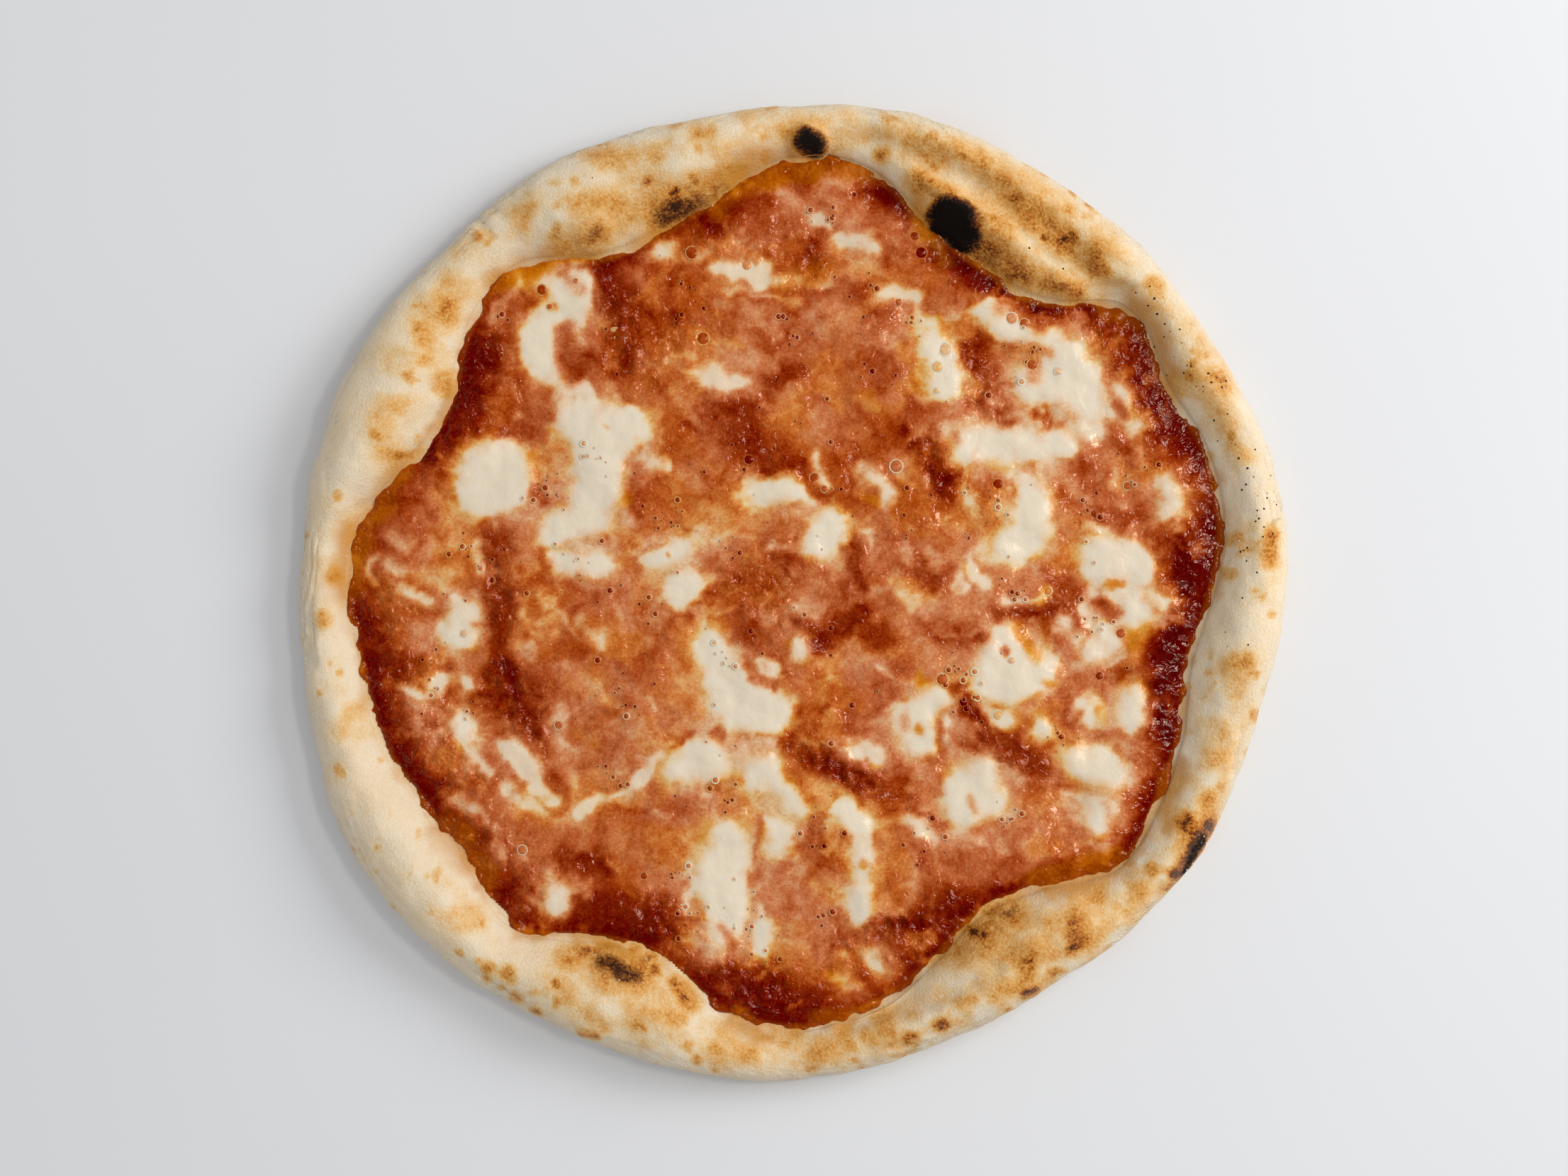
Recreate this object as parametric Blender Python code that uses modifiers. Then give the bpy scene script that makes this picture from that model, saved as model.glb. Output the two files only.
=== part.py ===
"""A baked margherita pizza, about 30 cm across, without its board.

One crust with a puffed rim, the tomato sauce that lies in its dish, and the pools of
melted mozzarella on the sauce. Metres, +Z up; the origin is the middle of the flat underside.
"""

import math

import bmesh
import bpy
from mathutils import Vector
from mathutils.bvhtree import BVHTree

MM = 0.001

# How finely the round pieces are made, and the air left between pieces that touch
SEGMENTS = 90
GAP = 0.35 * MM

# The crust as it is turned, before it is made uneven
BED_RADIUS = 126.0 * MM
BED_HEIGHT = 4.0 * MM
BED_STATIONS = (0.0, 0.22, 0.44, 0.64, 0.80, 0.92, 1.0)
BED_RISES_FROM = 0.80
EDGE_HEIGHT = 6.4 * MM
RIM_WIDTH = 24.0 * MM
RIM_HEIGHT = 17.0 * MM
CREST_AT = 0.56
WIDEST_HEIGHT = 7.2 * MM
BASE_AT = 0.70
INNER_STEPS = 7
OUTER_STEPS = 6
TUCK_STEPS = 4
UNDERSIDE_STATIONS = (0.96, 0.5, 0.0)

# Where the rim ends outside, in mm, every 15 degrees from +X towards +Y
OUTER_EDGE = (
    149.6, 151.5, 148.4, 149.2, 148.7, 150.4, 148.8, 148.2,
    150.7, 149.8, 152.2, 151.5, 150.4, 152.3, 156.0, 154.0,
    151.6, 149.1, 148.1, 144.7, 142.8, 145.1, 146.3, 146.0,
)

# Where the sauce ends and the rim begins, in mm, every 10 degrees from +X towards +Y
SAUCE_EDGE = (
    127.0, 132.0, 132.5, 130.0, 133.5, 116.0, 115.0, 119.0, 131.0,
    133.0, 123.0, 117.5, 118.0, 130.5, 128.5, 120.5, 122.5, 133.0,
    136.0, 134.0, 133.5, 130.0, 128.5, 132.5, 121.0, 118.0, 128.5,
    132.5, 128.0, 120.0, 112.0, 116.5, 129.0, 127.5, 125.0, 121.5,
)

# A wide stretch of rim has puffed up higher than a narrow one
NARROW_RIM = 14.0 * MM
NARROW_RIM_HEIGHT = 14.0 * MM
WIDE_RIM = 32.0 * MM
WIDE_RIM_HEIGHT = 19.0 * MM

# Lumps along the rim: how many go round, how high they are, and where the first one is
RIM_LUMPS = (
    (5, 0.9 * MM, 0.4),
    (11, 0.6 * MM, 2.1),
    (23, 0.35 * MM, 4.0),
)

# Grooves between an inner lip and the outer rim:
# from and to (degrees), radius at each end, depth, half width
RIM_GROOVES = (
    (40.0, 86.0, 131.0 * MM, 139.5 * MM, 5.0 * MM, 5.0 * MM),
    (274.0, 304.0, 128.0 * MM, 126.0 * MM, 2.6 * MM, 5.0 * MM),
)

# The sauce
SAUCE_HEIGHT = 6.3 * MM
SAUCE_EDGE_THICKNESS = 0.7 * MM
SAUCE_EDGE_STATION = 0.997
SAUCE_WAVES = (
    (62.0 * MM, 0.35 * MM, 0.3, 1.0),
    (48.0 * MM, 0.25 * MM, 1.7, 0.2),
    (85.0 * MM, 0.30 * MM, 2.6, 2.2),
)

# The mozzarella
POOL_CELL = 3.0 * MM
POOL_EDGE = 0.6 * MM
POOL_THICKNESS = 2.2 * MM
POOL_LEVEL = 0.5
POOL_FALL = 3.0
SNAP_STEPS = 3

# Each pool is a few strokes that have run together.
# A stroke is its two ends and its half width, in mm: x, y, x, y, half width.
POOLS = (
    ((-91, 37, -90, 36, 11), (-97, 30, -93, 31, 5.5)),
    ((-78, 78, -70, 85, 6.5), (-70, 89, -66, 94, 5), (-79, 73, -73, 66, 3.5)),
    ((-69, 53, -50, 52, 5.5), (-58, 47, -60, 34, 7), (-61, 30, -60, 22, 4.5), (-66, 23, -77, 18, 4)),
    ((-74, 10, -57, 8, 3.4),),
    ((-36, 0, -31, 4, 4.4),),
    ((-42, 10, -33, 15, 3.2),),
    ((-14, 31, 1, 31, 3),),
    ((7, 15.5, 12, 21.5, 5),),
    (
        (58, 87, 64, 84, 4.3),
        (66, 79, 73, 80, 3.2),
        (77, 77, 83, 73, 3),
        (75, 65, 86, 66, 7.6),
        (88, 59, 89, 55, 4),
    ),
    ((99, 63, 99, 55, 3.5),),
    ((41, 81, 42, 74, 3), (47, 72, 45, 63, 4.2)),
    ((54, 45, 57, 47, 6), (67, 45, 82, 45.5, 4.2)),
    ((71, 36, 71, 32, 3.2), (74, 27, 74, 23, 4.6), (71, 17, 65, 14, 5)),
    ((93, 10, 103, 10, 6.4), (106, 5, 106, 4, 3)),
    ((100, -2.5, 110, -4, 2.8), (103, -7, 96, -13, 3.8), (93, -16, 90, -18, 3.6)),
    ((63, -14, 65, -20, 4.4), (60, -25.5, 74, -24, 6.8)),
    ((61, -38, 66, -37.5, 2.3),),
    ((35.5, -38, 37.5, -45, 5.4), (42, -31, 46, -33, 3)),
    ((73.5, -39.5, 77.5, -42, 2.6),),
    ((91, -33, 91, -38, 3),),
    ((103, -30, 102.5, -39, 3.2),),
    ((86, -50, 96, -53, 4.6), (93, -59, 93, -70, 4.2)),
    ((57, -51, 57, -56, 3.6), (49, -58, 51, -67, 4), (60, -63, 60, -64, 4.4)),
    ((21, -78, 20, -98, 3.5), (14, -65, 21, -71, 3)),
    ((-21, -75, -23, -83, 5.6), (-22, -86, -21, -94, 6.5), (-22, -98, -23, -104, 4)),
    ((-8, -102, -11, -109, 2.7),),
    ((-5, -72, -5, -77, 3.7),),
    ((-25, -15, -22, -24, 4.8), (-19, -31, -14, -34, 8), (-8, -38, -3, -34, 4.2)),
    ((-9.5, -22.5, -8, -24, 3.4),),
    ((2.5, -13.5, 3, -18.5, 2.7),),
    ((-31, -48, -25, -48, 3.6), (-37, -53, -25, -54, 4.2)),
    ((-12, -56, -9, -55, 5.2), (-2, -61, 1, -65, 3.2)),
    ((-98, -4, -104, -11, 2.8), (-105, -13, -101, -14, 3.4)),
    ((-103.5, -39, -100.5, -44, 3.6),),
    ((-72.5, -88, -71.5, -95, 3.3),),
    ((115, 31, 114, 24, 3.4),),
)

# Colours (sRGB) and roughness of the baked dough, the sauce and the cheese
FINISHES = {
    "baked_dough": ((0.86, 0.74, 0.56), 0.75),
    "tomato": ((0.62, 0.19, 0.06), 0.28),
    "melted_cheese": ((0.90, 0.85, 0.75), 0.32),
}

COLLECTION = "margherita_pizza"


def around(values, angle):
    """The value at an angle of a smooth closed curve through evenly spaced values."""
    place = angle / math.tau % 1.0 * len(values)
    first = math.floor(place)
    part = place - first
    before, start, end, after = (values[(first + step) % len(values)] for step in (-1, 0, 1, 2))
    bend = 2 * before - 5 * start + 4 * end - after
    twist = 3 * (start - end) + after - before
    return start + 0.5 * part * (end - before + part * (bend + part * twist))


def eased(part):
    """Rises smoothly from 0 to 1 as part goes from 0 to 1."""
    held = min(max(part, 0.0), 1.0)
    return held * held * (3.0 - 2.0 * held)


def bed_profile():
    """The top of the dough in the dish, from the middle out: flat, then up to the rim's foot."""
    points = []
    for station in BED_STATIONS:
        climb = eased((station - BED_RISES_FROM) / (1.0 - BED_RISES_FROM))
        points.append((station * BED_RADIUS, BED_HEIGHT + (EDGE_HEIGHT - BED_HEIGHT) * climb))
    return points


def rim_profile():
    """The rim, from its foot over the crest and round its outer side to the underside."""
    points = []
    for step in range(1, INNER_STEPS + 1):
        part = step / INNER_STEPS
        height = EDGE_HEIGHT + (RIM_HEIGHT - EDGE_HEIGHT) * math.sin(0.5 * math.pi * part)
        points.append((BED_RADIUS + CREST_AT * RIM_WIDTH * part, height))
    for step in range(1, OUTER_STEPS + 1):
        turn = 0.5 * math.pi * step / OUTER_STEPS
        reach = CREST_AT + (1.0 - CREST_AT) * math.sin(turn)
        height = WIDEST_HEIGHT + (RIM_HEIGHT - WIDEST_HEIGHT) * math.cos(turn)
        points.append((BED_RADIUS + RIM_WIDTH * reach, height))
    for step in range(1, TUCK_STEPS + 1):
        turn = 0.5 * math.pi * step / TUCK_STEPS
        reach = BASE_AT + (1.0 - BASE_AT) * math.cos(turn)
        points.append((BED_RADIUS + RIM_WIDTH * reach, WIDEST_HEIGHT * (1.0 - math.sin(turn))))
    return points


def crust_profile():
    """The whole crust's section, from the middle of its top to the middle of its underside."""
    underside = [(station * BED_RADIUS, 0.0) for station in UNDERSIDE_STATIONS]
    return bed_profile() + rim_profile() + underside


def sauce_profile():
    """The sauce's section: its free surface, its thin edge, then its underside on the dough."""
    bed = bed_profile()
    rims_foot = (SAUCE_EDGE_STATION * BED_RADIUS, EDGE_HEIGHT + GAP)
    surface = []
    for radius, height in bed[:-1]:
        surface.append((radius, SAUCE_HEIGHT + height - BED_HEIGHT))
    edge = (rims_foot[0], rims_foot[1] + SAUCE_EDGE_THICKNESS)
    underside = [(radius, height + GAP) for radius, height in reversed(bed[:-1])]
    return surface + [edge, rims_foot] + underside


def turned_mesh(name, profile):
    """Turns a section about the vertical axis into one closed mesh."""
    section = bpy.data.meshes.new(name + "_section")
    points = [(radius, 0.0, height) for radius, height in profile]
    section.from_pydata(points, [(i, i + 1) for i in range(len(points) - 1)], [])
    turning = bpy.data.objects.new(name + "_section", section)
    bpy.context.scene.collection.objects.link(turning)
    screw = turning.modifiers.new("turn", "SCREW")
    screw.steps = SEGMENTS
    screw.render_steps = SEGMENTS
    screw.use_merge_vertices = True
    screw.merge_threshold = 0.01 * MM
    screw.use_smooth_shade = True
    depsgraph = bpy.context.evaluated_depsgraph_get()
    mesh = bpy.data.meshes.new_from_object(turning.evaluated_get(depsgraph))
    mesh.name = name
    bpy.data.objects.remove(turning)
    bpy.data.meshes.remove(section)
    return mesh


def rim_height(width):
    """How high the rim stands where it is this wide."""
    part = (width - NARROW_RIM) / (WIDE_RIM - NARROW_RIM)
    return NARROW_RIM_HEIGHT + (WIDE_RIM_HEIGHT - NARROW_RIM_HEIGHT) * eased(part)


def rim_lumps(angle):
    """How far the rim stands above or below its even height at an angle."""
    return sum(height * math.sin(count * angle + start) for count, height, start in RIM_LUMPS)


def rim_groove(angle, radius):
    """How far the grooves sink the rim at a place."""
    depth = 0.0
    degrees = math.degrees(angle) % 360.0
    for start, end, start_radius, end_radius, deepest, half_width in RIM_GROOVES:
        part = (degrees - start) / (end - start)
        if 0.0 < part < 1.0:
            middle = start_radius + (end_radius - start_radius) * part
            across = math.exp(-(((radius - middle) / half_width) ** 2))
            depth += deepest * math.sin(math.pi * part) ** 0.5 * across
    return depth


def uneven_place(point):
    """Where a point of the turned shapes lies on the real, uneven pizza."""
    angle = math.atan2(point.y, point.x)
    turned = math.hypot(point.x, point.y)
    foot = around(SAUCE_EDGE, angle) * MM
    outside = around(OUTER_EDGE, angle) * MM
    if turned <= BED_RADIUS:
        radius = turned / BED_RADIUS * foot
        height = point.z
    else:
        width = outside - foot
        radius = foot + (turned - BED_RADIUS) / RIM_WIDTH * width
        height = point.z
        if height > EDGE_HEIGHT:
            part = (height - EDGE_HEIGHT) / (RIM_HEIGHT - EDGE_HEIGHT)
            crest = rim_height(width) + rim_lumps(angle)
            height = EDGE_HEIGHT + part * (crest - EDGE_HEIGHT)
            height -= min(part, 1.0) * rim_groove(angle, radius)
    return Vector((radius * math.cos(angle), radius * math.sin(angle), height))


def sauce_wave(x, y):
    """How far the sauce's surface stands above or below its even height."""
    height = 0.0
    for length, rise, start, heading in SAUCE_WAVES:
        along = x * math.cos(heading) + y * math.sin(heading)
        height += rise * math.sin(math.tau * along / length + start)
    return height


def make_crust(collection):
    """The baked dough: base, dish and puffed rim in one piece."""
    mesh = turned_mesh("crust", crust_profile())
    for vertex in mesh.vertices:
        vertex.co = uneven_place(vertex.co)
    return add_part(collection, "crust", mesh, "baked_dough")


def make_sauce(collection):
    """The thin layer of tomato sauce that fills the dish out to the rim's foot."""
    mesh = turned_mesh("tomato_sauce", sauce_profile())
    for vertex in mesh.vertices:
        turned = math.hypot(vertex.co.x, vertex.co.y)
        free_surface = vertex.co.z > SAUCE_HEIGHT - GAP and turned < 0.9 * BED_RADIUS
        vertex.co = uneven_place(vertex.co)
        if free_surface:
            vertex.co.z += sauce_wave(vertex.co.x, vertex.co.y)
    return add_part(collection, "tomato_sauce", mesh, "tomato")


def stroke_distance(point, stroke):
    """How far a point is from a stroke's middle line, in half widths."""
    start = Vector(stroke[0:2]) * MM
    end = Vector(stroke[2:4]) * MM
    run = end - start
    part = min(max((point - start).dot(run) / run.length_squared, 0.0), 1.0)
    return (point - start - run * part).length / (stroke[4] * MM)


def pool_field(point, strokes):
    """1 or more in the middle of a pool, POOL_LEVEL on its outline and 0 far outside."""
    return sum(POOL_LEVEL ** (stroke_distance(point, stroke) ** POOL_FALL) for stroke in strokes)


def field_slope(point, strokes):
    """Which way, and how fast, a pool's field rises at a point."""
    step = 0.05 * MM
    across = Vector((step, 0.0))
    along = Vector((0.0, step))
    rise_x = pool_field(point + across, strokes) - pool_field(point - across, strokes)
    rise_y = pool_field(point + along, strokes) - pool_field(point - along, strokes)
    return Vector((rise_x, rise_y)) / (2.0 * step)


def on_outline(point, strokes):
    """The point of a pool's outline that is nearest to a point beside it."""
    for _ in range(SNAP_STEPS):
        slope = field_slope(point, strokes)
        move = slope * (POOL_LEVEL - pool_field(point, strokes)) / slope.length_squared
        if move.length > 0.5 * POOL_CELL:
            move = move.normalized() * 0.5 * POOL_CELL
        point = point + move
    return point


def pool_sheet(strokes):
    """A flat grid of cells, cut to a pool's outline."""
    reach = 2.0 * POOL_CELL
    lows = [min(min(s[i], s[i + 2]) - s[4] for s in strokes) * MM - reach for i in (0, 1)]
    highs = [max(max(s[i], s[i + 2]) + s[4] for s in strokes) * MM + reach for i in (0, 1)]
    cells = [math.ceil((high - low) / POOL_CELL) for low, high in zip(lows, highs)]
    sheet = bmesh.new()
    bmesh.ops.create_grid(sheet, x_segments=cells[0], y_segments=cells[1], size=0.5)
    for vertex in sheet.verts:
        vertex.co.x = lows[0] + (vertex.co.x + 0.5) * cells[0] * POOL_CELL
        vertex.co.y = lows[1] + (vertex.co.y + 0.5) * cells[1] * POOL_CELL
    outside = [f for f in sheet.faces if pool_field(f.calc_center_median().xy, strokes) < POOL_LEVEL]
    bmesh.ops.delete(sheet, geom=outside, context="FACES")
    for vertex in sheet.verts:
        if vertex.is_boundary:
            vertex.co.xy = on_outline(vertex.co.xy, strokes)
    return sheet


def make_pool(collection, name, strokes, sauce_tree):
    """One pool of melted cheese: it follows the sauce below and is domed above."""
    sheet = pool_sheet(strokes)
    bmesh.ops.triangulate(sheet, faces=sheet.faces)
    for vertex in sheet.verts:
        above = Vector((vertex.co.x, vertex.co.y, RIM_HEIGHT))
        vertex.co.z = sauce_tree.ray_cast(above, Vector((0.0, 0.0, -1.0)))[0].z + GAP
    raised = bmesh.ops.extrude_face_region(sheet, geom=sheet.faces[:], use_keep_orig=True)
    for vertex in raised["geom"]:
        if isinstance(vertex, bmesh.types.BMVert):
            inward = pool_field(vertex.co.xy, strokes) / POOL_LEVEL - 1.0
            vertex.co.z += POOL_EDGE + (POOL_THICKNESS - POOL_EDGE) * eased(inward)
    bmesh.ops.recalc_face_normals(sheet, faces=sheet.faces)
    mesh = bpy.data.meshes.new(name)
    sheet.to_mesh(mesh)
    sheet.free()
    return add_part(collection, name, mesh, "melted_cheese")


def finish(name):
    """A named material with its own colour and roughness."""
    material = bpy.data.materials.new(name)
    material.use_nodes = True
    colour, roughness = FINISHES[name]
    shader = material.node_tree.nodes["Principled BSDF"]
    linear = [((part + 0.055) / 1.055) ** 2.4 for part in colour]
    shader.inputs["Base Color"].default_value = (*linear, 1.0)
    shader.inputs["Roughness"].default_value = roughness
    shader.inputs["Metallic"].default_value = 0.0
    material.diffuse_color = (*linear, 1.0)
    return material


def add_part(collection, name, mesh, material_name):
    """Adds a finished mesh to the pizza as a named part."""
    material = bpy.data.materials.get(material_name) or finish(material_name)
    mesh.materials.clear()
    mesh.materials.append(material)
    mesh.shade_smooth()
    mesh.set_sharp_from_angle(angle=math.radians(40.0))
    part = bpy.data.objects.new(name, mesh)
    collection.objects.link(part)
    return part


def main():
    for item in list(bpy.data.objects):
        bpy.data.objects.remove(item)
    pizza = bpy.data.collections.new(COLLECTION)
    bpy.context.scene.collection.children.link(pizza)
    make_crust(pizza)
    sauce = make_sauce(pizza)
    corners = [vertex.co for vertex in sauce.data.vertices]
    sauce_tree = BVHTree.FromPolygons(corners, [face.vertices for face in sauce.data.polygons])
    for number, strokes in enumerate(POOLS, start=1):
        make_pool(pizza, f"mozzarella_{number:02d}", strokes, sauce_tree)


main()
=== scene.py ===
# %% [markdown]
# A baked margherita pizza
#
# This lesson dresses a plain solid model of a pizza as the real food: a hand stretched crust with a
# puffed, charred rim, wet tomato sauce and melted mozzarella. The solids are the frame. They say
# where everything is, and each one is replaced here by a finer piece of the same form.

# %% Load the frame
import math

import bmesh
import bpy
import numpy as np
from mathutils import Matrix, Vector
from mathutils.bvhtree import BVHTree


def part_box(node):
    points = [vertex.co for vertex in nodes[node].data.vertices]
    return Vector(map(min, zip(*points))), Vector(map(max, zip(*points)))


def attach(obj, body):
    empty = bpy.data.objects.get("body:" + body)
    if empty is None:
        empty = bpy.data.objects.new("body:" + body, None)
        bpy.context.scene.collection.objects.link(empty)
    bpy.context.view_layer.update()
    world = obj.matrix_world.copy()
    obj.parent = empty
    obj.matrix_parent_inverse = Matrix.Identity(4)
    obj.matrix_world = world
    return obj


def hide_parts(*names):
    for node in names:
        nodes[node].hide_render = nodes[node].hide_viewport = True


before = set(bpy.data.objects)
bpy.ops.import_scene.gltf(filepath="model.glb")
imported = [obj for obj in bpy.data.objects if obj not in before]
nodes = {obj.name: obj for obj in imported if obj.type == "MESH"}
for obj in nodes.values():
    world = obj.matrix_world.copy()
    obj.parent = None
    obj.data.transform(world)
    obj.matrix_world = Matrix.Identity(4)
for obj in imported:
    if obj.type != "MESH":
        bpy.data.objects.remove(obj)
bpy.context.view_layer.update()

pool_names = sorted(name for name in nodes if name.startswith("mozzarella_"))
print("solids:", len(nodes), "of which cheese pools:", len(pool_names))

# %% [markdown]
# ## Small helpers
#
# Colours are written the way a paint chart gives them, as sRGB hex, and one function makes them
# linear. One function adds a node to any tree. Patterns are sized in millimetres, while Blender
# works in metres, so a noise pattern whose features are W mm wide has the scale 1000 / W.

# %% Colours, nodes and units
MM = 0.001


def linear(hex_colour, alpha=1.0):
    """A paint-chart colour as the linear light that Blender works in."""
    parts = [int(hex_colour[i:i + 2], 16) / 255 for i in (1, 3, 5)]
    return (*[p / 12.92 if p <= 0.04045 else ((p + 0.055) / 1.055) ** 2.4 for p in parts], alpha)


def per_mm(width):
    """The noise scale that makes features this many millimetres wide."""
    return 1.0 / (width * MM)


def put(tree, kind, inputs=None, stops=None, **settings):
    """Adds a node. Inputs are plain values or other nodes' outputs; stops are a ramp's colours."""
    made = tree.nodes.new(kind)
    for name, value in settings.items():
        setattr(made, name, value)
    for name, value in (inputs or {}).items():
        if isinstance(value, bpy.types.NodeSocket):
            tree.links.new(value, made.inputs[name])
        else:
            made.inputs[name].default_value = value
    for number, (place, colour) in enumerate(stops or ()):
        ramp = made.color_ramp.elements
        stop = ramp[number] if number < 2 else ramp.new(place)
        stop.position = place
        stop.color = linear(colour) if isinstance(colour, str) else (colour, colour, colour, 1.0)
    return made


def new_material(name):
    """An empty procedural material: its tree, its shader and its object coordinates."""
    made = bpy.data.materials.new(name)
    made.use_nodes = True
    tree = made.node_tree
    shader = tree.nodes["Principled BSDF"]
    where = put(tree, "ShaderNodeTexCoord").outputs["Object"]
    return made, tree, shader, where


print("helpers ready")

# %% [markdown]
# ## Random hills, the same on each run
#
# Baked food is uneven at every size. `clouds` gives soft random hills of a named width at any list
# of points, from a table of random numbers with a fixed seed. Layers of finer hills make it craggy.

# %% Random hills
TABLE = 64


def hills(points, width, seed):
    """Soft random hills from -1 to 1, each about as wide as width, at an array of points."""
    table = np.random.default_rng(seed).uniform(-1.0, 1.0, (TABLE, TABLE, TABLE)).astype(np.float32)
    place = points / width
    cell = np.floor(place).astype(int)
    part = (place - cell).astype(np.float32)
    part = part * part * part * (part * (part * 6 - 15) + 10)
    low, high = cell % TABLE, (cell + 1) % TABLE
    total = 0.0
    for dx in (0, 1):
        for dy in (0, 1):
            for dz in (0, 1):
                corner = [high[..., k] if d else low[..., k] for k, d in enumerate((dx, dy, dz))]
                share = 1.0
                for k, d in enumerate((dx, dy, dz)):
                    share = share * (part[..., k] if d else 1.0 - part[..., k])
                total = total + share * table[corner[0], corner[1], corner[2]]
    return total


def clouds(points, width, seed, layers=3):
    """Hills with finer and lower hills on them."""
    total = 0.0
    for layer in range(layers):
        total = total + hills(points, width / 2 ** layer, seed + layer) / 2 ** layer
    return total


def smooth_step(value, low, high):
    """Rises smoothly from 0 at low to 1 at high."""
    part = np.clip((value - low) / (high - low), 0.0, 1.0)
    return part * part * (3 - 2 * part)


print("a few hills:", hills(np.array([[0.0, 0.0, 0.5], [3.0, 1.0, 0.5]]), 2.0, 1).round(2))

# %% [markdown]
# ## A map of the pizza
#
# Seen from above, the pizza is a map. Everything that depends on the place, such as how much
# cheese there is, is first painted on a fine square grid in millimetres, and the meshes read it
# from there. `painted` lays soft strokes on the map, like a wide wet brush.

# %% The map grid
GRID = 0.5
REACH = 165.0
map_line = np.arange(-REACH, REACH + GRID / 2, GRID)
map_x, map_y = np.meshgrid(map_line, map_line, indexing="ij")
map_points = np.stack([map_x, map_y, np.zeros_like(map_x)], axis=-1)
map_radius = np.hypot(map_x, map_y)
map_angle = np.arctan2(map_y, map_x)


def softened(field, width):
    """Blurs a map over a width in mm."""
    rows = np.fft.fftfreq(field.shape[0], GRID)[:, None]
    columns = np.fft.rfftfreq(field.shape[1], GRID)[None, :]
    blur = np.exp(-2 * (np.pi * width) ** 2 * (rows ** 2 + columns ** 2))
    return np.fft.irfft2(np.fft.rfft2(field) * blur, s=field.shape)


def read_map(field, x, y):
    """A map's values at places in mm, between the grid's points too."""
    across = np.clip((x + REACH) / GRID, 0, len(map_line) - 1.001)
    along = np.clip((y + REACH) / GRID, 0, len(map_line) - 1.001)
    i, j = across.astype(int), along.astype(int)
    a, b = across - i, along - j
    near = field[i, j] * (1 - b) + field[i, j + 1] * b
    far = field[i + 1, j] * (1 - b) + field[i + 1, j + 1] * b
    return near * (1 - a) + far * a


# Nothing on food has a ruled edge, so strokes are laid on a map that is pushed about a little.
SWAY_WIDTH, SWAY = 8.0, 1.9
sway_x = SWAY * clouds(map_points, SWAY_WIDTH, 11, 4)
sway_y = SWAY * clouds(map_points, SWAY_WIDTH, 21, 4)


def painted(strokes, edge=0.45, sway=1.0, wider=0.0):
    """A map with soft strokes on it: each is x, y, x, y, half width (mm) and strength."""
    total = np.zeros_like(map_x)
    x, y = map_x + sway * sway_x, map_y + sway * sway_y
    for x0, y0, x1, y1, half_width, strength in strokes:
        half_width = half_width + wider
        reach = half_width * (1 + edge) + 4 * SWAY
        rows = slice(*np.searchsorted(map_line, (min(x0, x1) - reach, max(x0, x1) + reach)))
        columns = slice(*np.searchsorted(map_line, (min(y0, y1) - reach, max(y0, y1) + reach)))
        near = (rows, columns)
        run_x, run_y = x1 - x0, y1 - y0
        length = max(run_x ** 2 + run_y ** 2, 1e-6)
        part = np.clip(((x[near] - x0) * run_x + (y[near] - y0) * run_y) / length, 0, 1)
        away = np.hypot(x[near] - x0 - part * run_x, y[near] - y0 - part * run_y) / half_width
        total[near] = np.maximum(total[near], strength * (1 - smooth_step(away, 1 - edge, 1 + edge)))
    return total


print("map:", map_x.shape, "points,", GRID, "mm apart")

# %% [markdown]
# ## What the solids say
#
# The crust's solid was turned from one section, so its corners lie in straight columns, 4 degrees
# apart. Sorting a column's corners by their direction from the middle of the rim puts them in the
# section's order. Each section is then measured out in equal steps, from the foot of the rim, where
# the sauce ends, over the crest and down to the table. The sauce's solid gives the sauce's edge.

# %% Read the sauce's edge and the crust's sections
COLUMNS = 90
RIM_STEPS = 20


def solid_columns(name):
    """A turned solid's corners in mm as (radius, height), one array for each column."""
    loose = np.array([v.co for v in nodes[name].data.vertices]) / MM
    corners = np.unique(loose.round(2), axis=0)
    radius = np.hypot(corners[:, 0], corners[:, 1])
    turn = np.round(np.degrees(np.arctan2(corners[:, 1], corners[:, 0])) / (360 / COLUMNS)).astype(int) % COLUMNS
    return [np.stack([radius, corners[:, 2]], axis=-1)[(turn == number) & (radius > 1)] for number in range(COLUMNS)]


def rim_section(column, foot_radius):
    """One column of the crust: two rings of the dish, then equal steps over the rim, then its base."""
    radius, height = column[:, 0], column[:, 1]
    order = np.argsort(-np.arctan2(height - 2.0, radius - (radius.max() - 8.0)))
    radius, height = radius[order], height[order]
    start = int(np.argmin(np.abs(radius - foot_radius) + np.abs(height - height[0])))
    length = np.concatenate([[0.0], np.cumsum(np.hypot(np.diff(radius[start:]), np.diff(height[start:])))])
    steps = np.linspace(0.0, length[-1], RIM_STEPS)
    rim = np.stack([np.interp(steps, length, radius[start:]), np.interp(steps, length, height[start:])], axis=-1)
    dish = np.array([[0.80 * foot_radius, height[0]], [0.92 * foot_radius, height[start - 1]]])
    base = np.array([[rim[-1, 0] * part, rim[-1, 1]] for part in (0.96, 0.5)])
    return np.concatenate([dish, rim, base])


sauce_edge = np.array([column[:, 0].max() for column in solid_columns("tomato_sauce")])
sections = np.array([rim_section(*pair) for pair in zip(solid_columns("crust"), sauce_edge)])
crust_edge = sections[..., 0].max(axis=1)
print("sections:", sections.shape, "sauce edge", sauce_edge.min().round(1), "to", sauce_edge.max().round(1), "mm")


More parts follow.
